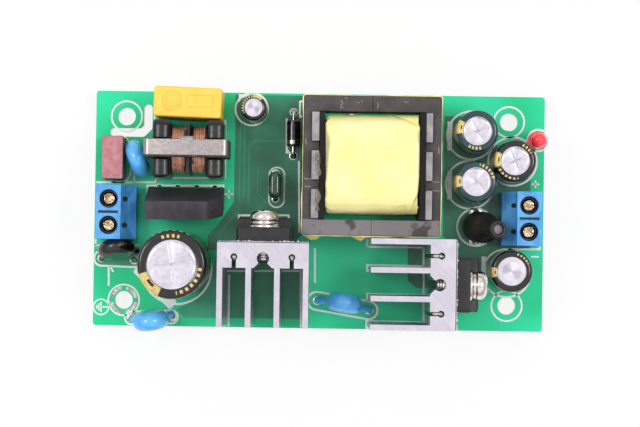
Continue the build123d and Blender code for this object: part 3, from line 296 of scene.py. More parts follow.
def studio_floor():
    """A square sheet of pale paper far wider than the view."""
    corners = np.array([(-1, -1), (1, -1), (1, 1), (-1, 1)], float) * FLOOR_REACH
    mesh = bpy.data.meshes.new("studio_floor")
    mesh.from_pydata([(x, y, FLOOR_Z) for x, y in corners], [], [(0, 1, 2, 3)])
    floor = bpy.data.objects.new("studio_floor", mesh)
    bpy.context.scene.collection.objects.link(floor)
    paint = Paint("pale_paper", Roughness=0.9)
    paint.color(paint.blend(paint.noise(0.4, 4.0), (0.86, 0.86, 0.86), (0.9, 0.9, 0.9)))
    glow = paint.node("ShaderNodeEmission", {}, {"Strength": 1.0})
    rays = ("Camera", "Glossy", "Transmission")
    seen, mirrored, through = (
        paint.node("ShaderNodeLightPath", output=f"Is {ray} Ray") for ray in rays
    )
    share = seen.most(mirrored).most(through) * WHITE_SHARE
    paper = Wire(paint, paint.shader.outputs[0])
    mix = paint.node("ShaderNodeMixShader", {}, {0: share, 1: paper, 2: glow})
    out = next(n for n in paint.tree.nodes if n.type == "OUTPUT_MATERIAL")
    paint.feed(out.inputs["Surface"], mix)
    mesh.materials.append(paint.material)


studio_floor()
print("floor at", round(FLOOR_Z / MM, 2), "mm")

# %% [markdown]
# The light is soft. The sky is brightest half way up and a little dimmer straight overhead, where
# the camera hangs, and two small soft boxes at the left and right leave the twin highlights that
# every glossy part has in the photo. One large lamp would be simpler, but leaves broad highlights.


# %% Soft boxes and sky
def soft_box(name, place, size, power):
    """A square area lamp that faces the board's middle."""
    data = bpy.data.lights.new(name, "AREA")
    data.shape = "SQUARE"
    data.size = size
    data.energy = power
    lamp = bpy.data.objects.new(name, data)
    lamp.location = place
    lamp.rotation_euler = lamp.location.to_track_quat("Z", "Y").to_euler()
    bpy.context.scene.collection.objects.link(lamp)


def sky(stops):
    """World light that changes with height only: a grey for each height, 0 level and 1 overhead."""
    world = bpy.data.worlds.new("studio_sky")
    world.use_nodes = True
    tree = Tree(world.node_tree)
    height = tree.axes(tree.node("ShaderNodeTexCoord", output="Generated"))[2]
    greys = [(level, (grey, grey, grey)) for level, grey in stops]
    light = tree.node("ShaderNodeValToRGB", {"stops": greys}, {0: height})
    background = next(n for n in tree.tree.nodes if n.type == "BACKGROUND")
    tree.feed(background.inputs["Color"], light)
    bpy.context.scene.world = world


soft_box("left_box", (-0.42, 0.12, 0.75), 0.22, 1.5)
soft_box("right_box", (0.42, 0.08, 0.75), 0.22, 1.5)
sky(((0.0, 0.35), (1.0, 0.85), (0.35, 0.55), (0.6, 0.95), (0.88, 0.95)))
bpy.context.scene.view_settings.view_transform = "Standard"
print("lamps", len(bpy.data.lights), "and a sky")

# %% [markdown]
# Shapes are worked out as arrays. A surface is a grid of points in two directions, and a grid whose
# last row meets its first is a ring. Each helper returns points and faces, so several shapes can
# be joined into one piece before the mesh is made.


# %% Grids and turned shapes
def sheet_faces(rows, cols, wrap_rows=False, wrap_cols=False):
    """Quads between neighbouring points of a grid, the last row or column joined to the first."""
    r = np.arange(rows if wrap_rows else rows - 1)
    c = np.arange(cols if wrap_cols else cols - 1)
    i, j = np.meshgrid(r, c, indexing="ij")
    i2, j2 = (i + 1) % rows, (j + 1) % cols
    quads = np.stack([i * cols + j, i2 * cols + j, i2 * cols + j2, i * cols + j2], -1)
    return quads.reshape(-1, 4)


def skin(grid, wrap_rows=False, wrap_cols=False, cap_first=False, cap_last=False):
    """A grid of points as a surface; a cap closes its first or last row with one face."""
    rows, cols = grid.shape[:2]
    faces = sheet_faces(rows, cols, wrap_rows, wrap_cols).tolist()
    if cap_first:
        faces.append(list(range(cols)))
    if cap_last:
        faces.append(list(range(rows * cols - 1, (rows - 1) * cols - 1, -1)))
    return grid.reshape(-1, 3), faces


def bar_skin(grid):
    """A grid whose rows are closed sections, with both ends capped."""
    return skin(grid, wrap_cols=True, cap_first=True, cap_last=True)


def ring_of(count):
    """Angles round a full turn, the last left out."""
    return np.linspace(0, 2 * np.pi, count, endpoint=False)


def lathe(profile, segments=64, ring=False):
    """A profile of radius and height turned about the upright axis: x = r cos a, y = r sin a.
    With ring the profile is a closed section, as of a washer or a sleeve."""
    profile = np.asarray(profile, float)
    angle = ring_of(segments)
    r, z = profile[:, :1], profile[:, 1:]
    grid = np.stack([r * np.cos(angle), r * np.sin(angle), z + 0 * angle], -1)
    caps = [radius > 0 and not ring for radius in profile[[0, -1], 0]]
    return skin(grid, wrap_rows=ring, wrap_cols=True, cap_first=caps[0], cap_last=caps[1])


print("a turned cone of 64 sides has", len(lathe([(1, 0), (0.5, 1)])[1]), "faces")

# %% [markdown]
# Wires are tubes, which carry a ring along a path. Copper, ink and pads are flat: plates are an
# outline with a thickness, and ribbons a line with a width. Their corners are mitred, as a print
# screen would draw them.


# %% Tubes, plates and ribbons
def unit(vectors):
    """Each vector divided by its own length."""
    return vectors / np.maximum(np.linalg.norm(vectors, axis=-1, keepdims=True), 1e-12)


def tube(path, radius, sides=12, up=(0.0, 0.0, 1.0)):
    """A ring carried along a path: centre + r (cos a * side + sin a * lift), square to the path."""
    path = np.asarray(path, float)
    run = unit(np.gradient(path, axis=0))
    side = unit(np.cross(run, np.broadcast_to(np.asarray(up, float), run.shape)))
    lift = np.cross(side, run)
    angle = ring_of(sides)
    around = np.cos(angle)[None, :, None] * side[:, None] + np.sin(angle)[None, :, None] * lift[:, None]
    return bar_skin(path[:, None] + radius * around)


def raised(outline, z):
    """Points of a flat outline at one height."""
    return np.c_[outline, np.full(len(outline), z)]


def plate(outline, low, high):
    """A closed outline given a thickness between two heights."""
    outline = np.asarray(outline, float)
    return bar_skin(np.stack([raised(outline, low), raised(outline, high)]))


def ribbon(points, width, low, high, closed=False):
    """A flat line of one width along points: each point moved half the width to either side."""
    p = np.asarray(points, float)
    if closed:
        before, after = unit(p - np.roll(p, 1, 0)), unit(np.roll(p, -1, 0) - p)
    else:
        step = unit(np.diff(p, axis=0))
        before, after = np.vstack([step[:1], step]), np.vstack([step, step[-1:]])
    turned = lambda v: np.stack([-v[:, 1], v[:, 0]], -1)
    mitre = unit(turned(before) + turned(after))
    reach = width / 2 / np.maximum((mitre * turned(before)).sum(-1), 0.35)[:, None]
    left, right = p + mitre * reach, p - mitre * reach
    ring = [raised(q, z) for q, z in ((left, low), (right, low), (right, high), (left, high))]
    ends = not closed
    return skin(np.stack(ring, 1), wrap_rows=closed, wrap_cols=True, cap_first=ends, cap_last=ends)


print("a bent ribbon has", len(ribbon(((0, 0), (1, 0), (1, 1)), 0.3, 0, 0.02)[1]), "faces")

# %% [markdown]
# Most outlines on a board are circles, rectangles with round corners, or two half circles joined
# by straight sides, so three helpers draw nearly all of them.


# %% Outlines
def circle(x, y, r, count=48, start=0.0, end=360.0):
    """Points at one distance from a centre, the last left out of a full turn."""
    full = abs(end - start) >= 360.0
    a = np.radians(np.linspace(start, end, count, endpoint=not full))
    return np.stack([x + r * np.cos(a), y + r * np.sin(a)], -1)


def round_box(x0, y0, x1, y1, r, count=6):
    """A rectangle with round corners, each a quarter circle."""
    corners = ((x1 - r, y1 - r, 0), (x0 + r, y1 - r, 90), (x0 + r, y0 + r, 180), (x1 - r, y0 + r, 270))
    return np.concatenate([circle(x, y, r, count, turn, turn + 90) for x, y, turn in corners])


def stadium(x0, y0, x1, y1, r, count=16):
    """The outline round two points at one distance, like a running track."""
    turn = math.degrees(math.atan2(y1 - y0, x1 - x0))
    ends = ((x1, y1, turn - 90), (x0, y0, turn + 90))
    return np.concatenate([circle(x, y, r, count, start, start + 180) for x, y, start in ends])


print("a round box of 4 by 2 mm spans", np.ptp(round_box(0, 0, 4, 2, 0.5), axis=0))

# %% [markdown]
# A shape is carried to its place by turning and moving its points, so the finished object itself
# stays at the origin, unturned. Then its faces are pointed outwards, and it is shaded smooth
# except along real edges.


# %% Moving, joining and making a piece
def moved(shape, offset=(0.0, 0.0, 0.0), turn=None, axis="Z"):
    """A shape turned about an axis through the origin, then carried by an offset."""
    points, faces = shape
    if turn:
        a = math.radians(turn)
        c, s = math.cos(a), math.sin(a)
        spin = {
            "X": [[1, 0, 0], [0, c, -s], [0, s, c]],
            "Y": [[c, 0, s], [0, 1, 0], [-s, 0, c]],
            "Z": [[c, -s, 0], [s, c, 0], [0, 0, 1]],
        }[axis]
        points = points @ np.array(spin).T
    return points + np.asarray(offset, float), faces


def joined(shapes):
    """Several shapes as one set of points and faces."""
    points, faces, start = [], [], 0
    for p, f in shapes:
        points.append(p)
        faces.extend([[n + start for n in face] for face in f])
        start += len(p)
    return np.concatenate(points), faces


def settle(mesh, smooth_deg):
    """Points all faces outwards and shades smooth where faces meet below an angle."""
    data = bmesh.new()
    data.from_mesh(mesh)
    bmesh.ops.remove_doubles(data, verts=data.verts, dist=1e-7)
    bmesh.ops.recalc_face_normals(data, faces=data.faces)
    data.to_mesh(mesh)
    data.free()
    mesh.shade_smooth()
    mesh.set_sharp_from_angle(angle=math.radians(smooth_deg))


def mesh_piece(name, shape, material, body=SUPPLY, slot=None, smooth_deg=35.0, stands_for=()):
    """Makes a piece in metres from points in millimetres, and hides the nodes it stands for."""
    points, faces = shape
    mesh = bpy.data.meshes.new(name)
    mesh.from_pydata((points * MM).tolist(), [], faces)
    mesh.validate()
    piece = bpy.data.objects.new(name, mesh)
    bpy.context.scene.collection.objects.link(piece)
    mesh.materials.append(material)
    settle(mesh, smooth_deg)
    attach(piece, body)
    if stands_for:
        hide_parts(*stands_for)
    print(name, "has", len(mesh.polygons), "faces")
    return piece


lying_pin = moved(plate(circle(0, 0, 1), 0, 5), turn=90, axis="Y")
print("an upright pin turned to lie down reaches", lying_pin[0].max(0))

# %% [markdown]
# Colours are read off a screen as numbers from 0 to 255. Shaders count in light instead, so each
# number goes through the screen's own curve first.


# %% Colours
def tone(r, g, b):
    """A screen colour as linear light: below 0.04 divide by 12.92, else a power of 2.4."""
    c = np.array([r, g, b]) / 255.0
    return tuple(np.where(c <= 0.04045, c / 12.92, ((c + 0.055) / 1.055) ** 2.4).tolist())


TIN = tone(206, 204, 198)
print("mid grey is", round(tone(128, 128, 128)[0], 3))

# %% [markdown]
# The board is woven glass in clear resin under a green mask. Where no copper lies below it the
# light goes through, and the green is bright; the sawn edges show the pale laminate.


# %% Board finish
def board_finish():
    """Mask on level faces, laminate on the edges; the weave is the product of two sines."""
    paint = Paint("green_mask", Roughness=0.3, Specular_IOR_Level=0.35, Coat_Weight=0.12, Coat_Roughness=0.1)
    x, y, _ = paint.axes()
    facing = paint.upward().abs()
    cloud = paint.noise(0.07, 2.0)
    mask = paint.blend(cloud.ramp(0.3, 0.7), tone(10, 206, 138), tone(34, 226, 170))
    weave = (x * 7.0).sin() * (y * 7.0).sin()
    mask = paint.blend(weave.ramp(-1.0, 1.0) * 0.06, mask, tone(90, 230, 176))
    edge = paint.blend(paint.noise(2.5, stretch=(1, 1, 4)), tone(196, 208, 140), tone(150, 182, 104))
    paint.color(paint.blend(facing.ramp(0.5, 0.9), edge, mask))
    paint.bump(weave.ramp(-1.0, 1.0), 0.006)
    return paint.material


def copper_pour_finish(name, deep, pale):
    """Mask over copper: darker, a little bluer, with an uneven pull of the mask."""
    paint = Paint(name, Roughness=0.28, Specular_IOR_Level=0.4, Coat_Weight=0.15, Coat_Roughness=0.1)
    cloud = paint.noise(0.12, 3.0)
    dark = paint.blend(cloud.ramp(0.35, 0.65), deep, pale)
    speck = paint.noise(2.2, 5.0)
    paint.color(paint.blend(speck.ramp(0.55, 0.8) * 0.35, dark, tone(60, 150, 110)))
    paint.bump(speck, 0.01)
    return paint.material


def print_finish():
    """White ink, a bit thin where the screen left less of it."""
    paint = Paint("white_print", Roughness=0.55)
    worn = paint.noise(1.6, 5.0).ramp(0.52, 0.8)
    paint.color(paint.blend(worn * 0.4, tone(246, 252, 249), tone(180, 222, 204)))
    paint.bump(paint.noise(9.0, 3.0), 0.01)
    return paint.material


GREEN_MASK = board_finish()
COPPER_POUR = copper_pour_finish("mask_over_copper", tone(38, 112, 84), tone(52, 140, 108))
THIN_POUR = copper_pour_finish("mask_over_thin_copper", tone(34, 142, 104), tone(52, 166, 128))
WHITE_PRINT = print_finish()
print("board finishes made")

# %% [markdown]
# Metals differ in how they were worked. Solder sets with a smooth skin; wire is drawn; a sink is
# sawn off an extruded bar and shows slanting saw lines on its ends; spring steel is rolled, so
# its streaks run along the strip. All are a base colour, a streak or grain, and a roughness.


# %% Metal finishes
def metal_finish(
    name, dark, light, rough, spread=0.12, scale=1.2, stretch=(1, 1, 1), depth=0.01, metallic=1.0
):
    """A metal between two tones: noise picks the tone, the roughness and a shallow bump."""
    paint = Paint(name, Metallic=metallic)
    grain = paint.noise(scale, 5.0, 0.6, stretch)
    paint.color(paint.blend(grain.ramp(0.3, 0.7), dark, light))
    paint.rough(grain * spread + (rough - spread / 2))
    paint.bump(grain, depth)
    return paint.material


def sawn_aluminium():
    """Level faces carry fine slanting saw lines, upright faces the lines of the extrusion."""
    paint = Paint("sawn_aluminium")
    x, y, z = paint.axes()
    facing = paint.upward().ramp(0.5, 0.9)
    slant = paint.node("ShaderNodeCombineXYZ", {}, {0: x + y * 0.8, 1: (x * 0.8 - y) * 0.06, 2: z * 0.06})
    saw = paint.noise(4.2, 6.0, 0.7, vector=slant)
    pull = paint.noise(2.4, 5.0, 0.7, (1, 1, 0.03))
    patch = paint.noise(0.35, 3.0)
    end = paint.blend(saw.ramp(0.32, 0.68), tone(188, 183, 194), tone(206, 201, 212))
    end = paint.blend(patch.ramp(0.45, 0.75) * 0.4, end, tone(228, 224, 232))
    side = paint.blend(pull.ramp(0.3, 0.7), tone(176, 174, 182), tone(226, 224, 230))
    paint.color(paint.blend(facing, side, end))
    paint.rough(saw * 0.25 + 0.22 + facing * 0.16)
    paint.metal(0.92 - facing * 0.37)
    paint.bump(saw, 0.015)
    return paint.material


SOLDER = metal_finish("solder_skin", tone(150, 150, 148), tone(226, 226, 222), 0.22, 0.2, 1.4, depth=0.04)
TINNED = metal_finish("tinned_wire", tone(168, 166, 160), tone(230, 228, 222), 0.26, 0.16, 2.0, (1, 1, 0.2))
STRIP_STEEL = metal_finish(
    "rolled_strip", tone(164, 154, 155), tone(192, 181, 182), 0.34, 0.08, 3.0, (0.5, 1.0, 1)
)
NICKEL = metal_finish("nickel_plate", tone(212, 201, 194), tone(250, 244, 240), 0.17, 0.1, 1.5, depth=0.006)
ENAMEL_WIRE = metal_finish(
    "enamelled_copper", tone(232, 148, 118), tone(255, 214, 192), 0.24, 0.2, 1.5, depth=0.01, metallic=0.15
)
SINK = sawn_aluminium()
BARE_CAN = metal_finish("bare_can", tone(196, 191, 202), tone(216, 211, 222), 0.46, 0.12, 0.5)
print("finishes so far", len(bpy.data.materials))

# %% [markdown]
# Moulded and dipped skins: a glossy black former, a dull filled resin for the chips' packages, a
# thick blue dip over the disc capacitors, and the yellow case. Many solids hold their own wires, so
# the same finish turns to tin where the place is a wire's, and no second mesh is needed.


# %% Plastics and dips
def plastic_finish(
    name, dark, light, rough, grain_scale=6.0, depth=0.008, coat=0.0, spread=0.1, bare=None, scuffs=0.0,
    **extra
):
    """A plastic between two tones, its grain in the bump and its gloss varied by soft clouds.

    bare takes the place's x, y and z and gives 1 where the part is tinned wire instead; scuffs
    is the strength of small pale rubbed spots, the highest peaks of a fine noise."""
    paint = Paint(name, Coat_Weight=coat, Coat_Roughness=0.08, **extra)
    cloud = paint.noise(0.45, 3.0)
    base = paint.blend(cloud.ramp(0.3, 0.7), dark, light)
    if scuffs:
        base = paint.blend(paint.noise(1.6, 7.0, 0.75).ramp(0.6, 0.68) * scuffs, base, tone(150, 146, 150))
    gloss = cloud * spread + (rough - spread / 2)
    if bare is not None:
        mask = bare(*paint.axes())
        base = paint.blend(mask, base, TIN)
        gloss = gloss * (1 - mask) + mask * 0.25
        paint.metal(mask)
        paint.put("Coat Weight", (1 - mask) * coat)
    paint.color(base)
    paint.rough(gloss)
    paint.bump(paint.noise(grain_scale, 4.0), depth)
    return paint.material


def below(level):
    """A mask that is 1 under a height."""
    return lambda x, y, z: z.ramp(level + 0.05, level - 0.05)


UNDER_BOARD = below(BOARD_TOP)
BLUE_DIP = plastic_finish(
    "blue_dip", tone(74, 172, 250), tone(106, 200, 255), 0.2, 1.2, 0.05, 0.5, bare=UNDER_BOARD
)
BLACK_DIP = plastic_finish(
    "black_dip", tone(14, 13, 15), tone(30, 29, 31), 0.24, 1.6, 0.05, 0.4, bare=UNDER_BOARD
)
GREEN_DIP = plastic_finish(
    "green_dip", tone(20, 56, 38), tone(40, 84, 58), 0.14, 2.0, 0.03, 0.6, bare=UNDER_BOARD
)
YELLOW_CASE = plastic_finish(
    "yellow_case", tone(246, 205, 76), tone(250, 213, 88), 0.42, 7.0, 0.015, bare=UNDER_BOARD
)
RED_RESIN = plastic_finish(
    "red_lens_resin", tone(246, 40, 52), tone(255, 70, 80), 0.05, 2.0, 0.004, 1.0, spread=0.02,
    bare=below(4.5),
)
BLACK_MOULDING = plastic_finish("black_moulding", tone(9, 8, 9), tone(24, 22, 24), 0.22, 3.0, 0.02, 0.2)
GLOSSY_MOULDING = plastic_finish("glossy_moulding", tone(14, 12, 14), tone(32, 29, 31), 0.3, 3.0, 0.03, 0.15)
DARK_FORMER = plastic_finish(
    "dark_former", tone(10, 8, 7), tone(22, 18, 17), 0.35, 3.0, 0.02, scuffs=0.15, Specular_IOR_Level=0.3
)
TERMINAL_BLUE = plastic_finish("terminal_blue", tone(70, 150, 222), tone(98, 178, 240), 0.36, 5.0, 0.012)
BLACK_FILM = plastic_finish("black_shrink_film", tone(10, 9, 11), tone(24, 22, 25), 0.2, 1.0, 0.02, 0.4)
TEAL_FILM = plastic_finish("teal_shrink_film", tone(14, 42, 50), tone(28, 62, 70), 0.2, 1.0, 0.02, 0.4)
CERAMIC_CHIP = plastic_finish("black_chip_glaze", tone(26, 28, 30), tone(50, 52, 54), 0.3, 8.0, 0.01)
TAN_CHIP = plastic_finish("tan_chip", tone(150, 118, 84), tone(182, 150, 110), 0.45, 8.0, 0.01)
print("finishes so far", len(bpy.data.materials))

# %% [markdown]
# Packages of filled resin are dull, with small rubbed spots. Their legs leave the body at a side or
# below a level, and the diode's silver band is printed on the resin, so each package tells the
# finish in its own words where it is bare.


# %% Package resins
def diode_finish():
    """Black resin with tinned wires beyond both ends and the silver band at the cathode."""
    def bare(_, y, __):
        """1 past either end of the body and between the band's two edges."""
        past_end = (y - 15.05).abs().ramp(2.52, 2.58)
        band = y.ramp(12.95, 13.05) * y.ramp(13.75, 13.65)
        return past_end.most(band)
    return plastic_finish("banded_diode", tone(14, 13, 16), tone(30, 28, 32), 0.16, 3.0, 0.01, 0.5, bare=bare)


def chip_resin(name, axis, middle, half):
    """Black resin whose legs are tinned: bare wherever the place is past half the body's width."""
    bare = lambda *place: (place[axis] - middle).abs().ramp(half - 0.02, half + 0.02)
    return plastic_finish(name, tone(24, 23, 25), tone(40, 38, 41), 0.4, 7.0, 0.02, bare=bare)


RESIN = plastic_finish(
    "filled_resin", tone(22, 20, 22), tone(36, 33, 36), 0.34, 7.0, 0.03, bare=UNDER_BOARD, scuffs=0.35
)
BRIDGE_RESIN = plastic_finish(
    "bridge_resin", tone(56, 52, 58), tone(72, 67, 74), 0.5, 7.0, 0.02, scuffs=0.3,
    bare=lambda x, y, z: z.ramp(2.9, 2.7).most(y.ramp(3.15, 3.3) * z.ramp(4.4, 4.2)),
)
OWN_FINISH = {
    "controller_chip": chip_resin("controller_resin", 0, -14.0, 1.97),
    "optocoupler": chip_resin("optocoupler_resin", 0, 5.6, 2.32),
    "shunt_regulator": chip_resin("shunt_resin", 1, 10.4, 0.67),
    "bridge_rectifier": BRIDGE_RESIN, "snubber_diode": diode_finish(), "choke_bobbin": GLOSSY_MOULDING,
    "transformer_bobbin": DARK_FORMER,
}
print("own finishes", len(OWN_FINISH))

# %% [markdown]
# Ferrite is fired like a brick: grey-brown, chalky, with pale specks and scratches. The front yoke is also
# glossier, and paler patches on it are painted highlight, standing for the lamps mirrored in its thin glaze.


# %% Ferrite
def fired_ferrite():
    """Grey-brown fired ferrite with pale specks, chalky scratches and patches of painted highlight on the
    front yoke.
    """
    paint = Paint("fired_ferrite", Metallic=0.1)
    cloud = paint.noise(0.3, 4.0)
    speck = paint.noise(5.0, 5.0, 0.7)
    streak = paint.noise(0.9, 6.0, 0.6, (0.35, 1.4, 1))
    base = paint.blend(cloud.ramp(0.3, 0.7), tone(58, 51, 51), tone(82, 74, 74))
    base = paint.blend(speck.ramp(0.6, 0.75) * 0.3, base, tone(150, 142, 144))
    base = paint.blend(streak.ramp(0.66, 0.72) * 0.35, base, tone(170, 165, 165))
    y = paint.axes()[1]
    # Painted highlight: paler, slightly glossier patches on the front yoke, where the lamps would mirror.
    painted_highlight_patch = y.ramp(-1.75, -1.95) * paint.noise(0.35, 2.0).ramp(0.34, 0.46)
    base = paint.blend(painted_highlight_patch * 0.85, base, tone(132, 126, 130))
    paint.color(base)
    paint.rough(cloud * 0.3 + 0.42 - painted_highlight_patch * 0.2)
    paint.bump(speck, 0.03)
    return paint.material


FERRITE = fired_ferrite()
print("ferrite finish", FERRITE.name)

# %% [markdown]
# The tape is a clear yellow film, and the pull of winding leaves long, darker streaks in its gloss. Along the
# coil's far upper edge, where its skin turns away from the light, a darker olive is painted shade.


# %% Film tape
def clear_tape_finish():
    """Yellow film tape: shiny, pulled tight, with darker streaks and painted shade along its far upper edge.
    """
    paint = Paint("yellow_film_tape", Coat_Weight=0.3, Coat_Roughness=0.12)
    _, y, z = paint.axes()
    pull = paint.noise(0.5, 4.0, 0.55, (0.25, 1.6, 1))
    cloud = paint.noise(0.16, 2.0)
    base = paint.blend(cloud.ramp(0.3, 0.75), tone(248, 237, 156), tone(253, 245, 180))
    base = paint.blend(pull.ramp(0.58, 0.8) * 0.35, base, tone(232, 220, 128))
    # Painted shade: the coil's far upper edge turns a darker olive.
    painted_edge_shade = (y + pull * 1.2).ramp(16.9, 18.5) * z.ramp(15.2, 16.5)
    base = paint.blend(painted_edge_shade * 0.7, base, tone(178, 164, 84))
    paint.color(base)
    paint.rough(pull * 0.25 + 0.18)
    paint.bump(pull, 0.02)
    return paint.material


FILM_TAPE = clear_tape_finish()
print("tape finish", FILM_TAPE.name)

# %% [markdown]
# The fuse wears a maroon cap. Its level face is printed over and paler than its sides.


# %% Fuse cap
def fuse_cap_finish():
    """The cap's printed face is maroon; its sides fall into a darker, greyer red."""
    paint = Paint("maroon_cap")
    z = paint.axes()[2]
    facing = paint.upward().ramp(0.4, 0.9)
    cloud = paint.noise(0.8, 4.0)
    face = paint.blend(cloud.ramp(0.3, 0.7), tone(178, 112, 118), tone(200, 138, 142))
    side = paint.blend(z.ramp(2.5, 8.5), tone(58, 44, 48), tone(104, 70, 76))
    wire = z.ramp(1.65, 1.55)
    paint.color(paint.blend(wire, paint.blend(facing, side, face), TIN))
    paint.metal(wire)
    paint.rough(cloud * 0.2 + 0.38)
    paint.bump(paint.noise(5.0, 4.0), 0.02)
    return paint.material


FUSE_CAP = fuse_cap_finish()
print("cap finish", FUSE_CAP.name)

# %% [markdown]
# Every CAD node names the slot its finish comes from, so one table dresses them all. Nodes that
# get a finer piece below are replaced there, and these finishes go with them.

# %% Dress the CAD nodes
FINISHES = {
    "board": GREEN_MASK, "solder": SOLDER, "fuse_cap": FUSE_CAP, "blue_coat": BLUE_DIP,
    "yellow_case": YELLOW_CASE, "black_plastic": BLACK_MOULDING, "copper_wire": ENAMEL_WIRE,
    "ferrite": FERRITE, "spring_steel": STRIP_STEEL, "tinned_wire": TINNED, "mould_compound": RESIN,
    "can_aluminium": BARE_CAN, "black_sleeve": BLACK_FILM, "teal_sleeve": TEAL_FILM,
    "black_coat": BLACK_DIP, "sink_aluminium": SINK, "nickel_steel": NICKEL, "coil_tape": FILM_TAPE,
    "green_film": GREEN_DIP, "red_lens": RED_RESIN, "terminal_blue": TERMINAL_BLUE,
    "chip_ceramic": CERAMIC_CHIP, "chip_tan": TAN_CHIP,
}
SLOTS = {row["node"]: row["material_slot"] for row in frame["record"]["subparts"]}


def finish_of(node):
    """A node's own finish if it has one, else the one of its slot."""
    return OWN_FINISH.get(node, FINISHES[SLOTS[node]])


for node_name, solid in nodes.items():
    finish = finish_of(node_name)
    if solid.material_slots:
        for place in solid.material_slots:
            place.material = finish
    else:
        solid.data.materials.append(finish)
print("dressed", len(nodes), "nodes")

# %% [markdown]
# Real edges are never perfectly sharp, and the thin bright line on a rounded edge is what makes a
# part look solid. A CAD node's mesh is loose triangles, so a copy is merged, its flat faces are
# joined again, and a small bevel goes round every edge.


# %% Copies of CAD nodes
def merged_copy(node, ending, flatten=False):
    """A new piece with a node's mesh, its doubles merged; flatten also joins its flat faces."""
    piece = bpy.data.objects.new(node + ending, nodes[node].data.copy())
    bpy.context.scene.collection.objects.link(piece)
    data = bmesh.new()
    data.from_mesh(piece.data)
    bmesh.ops.remove_doubles(data, verts=data.verts, dist=2e-6)
    if flatten:
        bmesh.ops.dissolve_degenerate(data, edges=data.edges, dist=1e-6)
        bmesh.ops.dissolve_limit(
            data, angle_limit=math.radians(1.0), verts=data.verts, edges=data.edges,
            use_dissolve_boundaries=False,
        )
    data.to_mesh(piece.data)
    data.free()
    return piece


def stand_in(piece, node):
    """Rides on a node's body and hides it."""
    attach(piece, nodes[node]["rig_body"])
    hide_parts(node)
    print(piece.name, "has", len(piece.data.polygons), "faces before its modifiers")
    return piece


print("nodes that can be copied", len(nodes))

# %% [markdown]
# A Bevel modifier limited by angle rounds every edge of a copy alike. Where only some edges are
# broad, as on the choke's former, each edge gets a weight worked out from its place.


# %% Rounded copies
def rounded(node, width=0.1, segments=2, angle=32.0, reshape=None, weigh=None):
    """A copy of a node with merged doubles, joined flat faces and a bevel in millimetres.

    reshape takes the corners' places and gives them back changed; weigh takes the edges' middles
    and gives the share of the bevel's width that each edge gets."""
    piece = merged_copy(node, "_rounded", flatten=True)
    mesh = piece.data
    places = np.empty(len(mesh.vertices) * 3, np.float32)
    mesh.vertices.foreach_get("co", places)
    places = places.reshape(-1, 3) / MM
    if reshape is not None:
        places = reshape(places)
        mesh.vertices.foreach_set("co", (places * MM).astype(np.float32).ravel())
    layer = piece.modifiers.new("edge", "BEVEL")
    layer.width = width * MM
    layer.segments = segments
    layer.limit_method = "ANGLE"
    if weigh is not None:
        ends = np.empty(len(mesh.edges) * 2, np.int32)
        mesh.edges.foreach_get("vertices", ends)
        middles = places[ends.reshape(-1, 2)].mean(1)
        weights = mesh.attributes.new("bevel_weight_edge", "FLOAT", "EDGE")
        weights.data.foreach_set("value", weigh(middles).astype(np.float32))
        layer.limit_method = "WEIGHT"
    layer.angle_limit = math.radians(angle)
    layer.use_clamp_overlap = True
    layer.miter_outer = "MITER_ARC"
    layer.harden_normals = True
    piece.data.shade_smooth()
    piece.data.set_sharp_from_angle(angle=math.radians(angle))
    for place in piece.material_slots:
        place.material = finish_of(node)
    return stand_in(piece, node)


EDGE_WIDTHS = {
    "fuse": 0.25, "suppression_capacitor": 0.3,
    "choke_core": 0.1, "bridge_rectifier": 0.12, "primary_heatsink": 0.06, "secondary_heatsink": 0.06,
    "switching_transistor": 0.12, "output_rectifier": 0.12, "transformer_core_left": 0.12,
    "transformer_core_right": 0.12, "transformer_bobbin": 0.12,
}
for node_name, width in EDGE_WIDTHS.items():
    rounded(node_name, width)
print("rounded", len(EDGE_WIDTHS), "nodes")

# %% [markdown]
# Three copies need more. The choke's former has broad round shoulders on its four end blocks only,
# and the terminals' small test holes sit nearer the screws in the photo than in the solids, so the
# corners round each hole are shifted before the edges are rounded.


# %% Former and terminal housings
def rounded_blocks(middles):
    """Full width on the upper edges of the end blocks, a twelfth elsewhere."""
    block = (np.abs(middles[:, 0] + 24.7) > 3.2) & (middles[:, 2] > 7.0)
    return np.where(block, 1.0, 0.08)


PROBE_STEP = {"input": -0.75, "output": 0.9}


def probes_moved(side, x, ys):
    """The probe holes' corners, shifted along X to where the photo shows the holes."""
    def reshape(places):
        """A shift for each corner within 0.56 mm of a hole's axis."""
        near = np.zeros(len(places), bool)
        for y in ys:
            near |= np.hypot(places[:, 0] - x, places[:, 1] - y) < 0.56
        places[near, 0] += PROBE_STEP[side]
        return places
    return reshape


SHOULDER = 1.45
rounded("choke_bobbin", SHOULDER, 6, weigh=rounded_blocks)
rounded("input_terminal_housing", 0.08, reshape=probes_moved("input", -36.25, (1.59, -3.49)))
rounded("output_terminal_housing", 0.08, reshape=probes_moved("output", 37.25, (-3.59, 1.49)))

# %% [markdown]
# Copper lies under the mask as wide pours, cut apart by narrow gaps. Where it lies, the board
# looks darker and stands a hair higher, so each pour is a thin plate on the board, and the gaps
# are narrow strips of bare board colour over it.

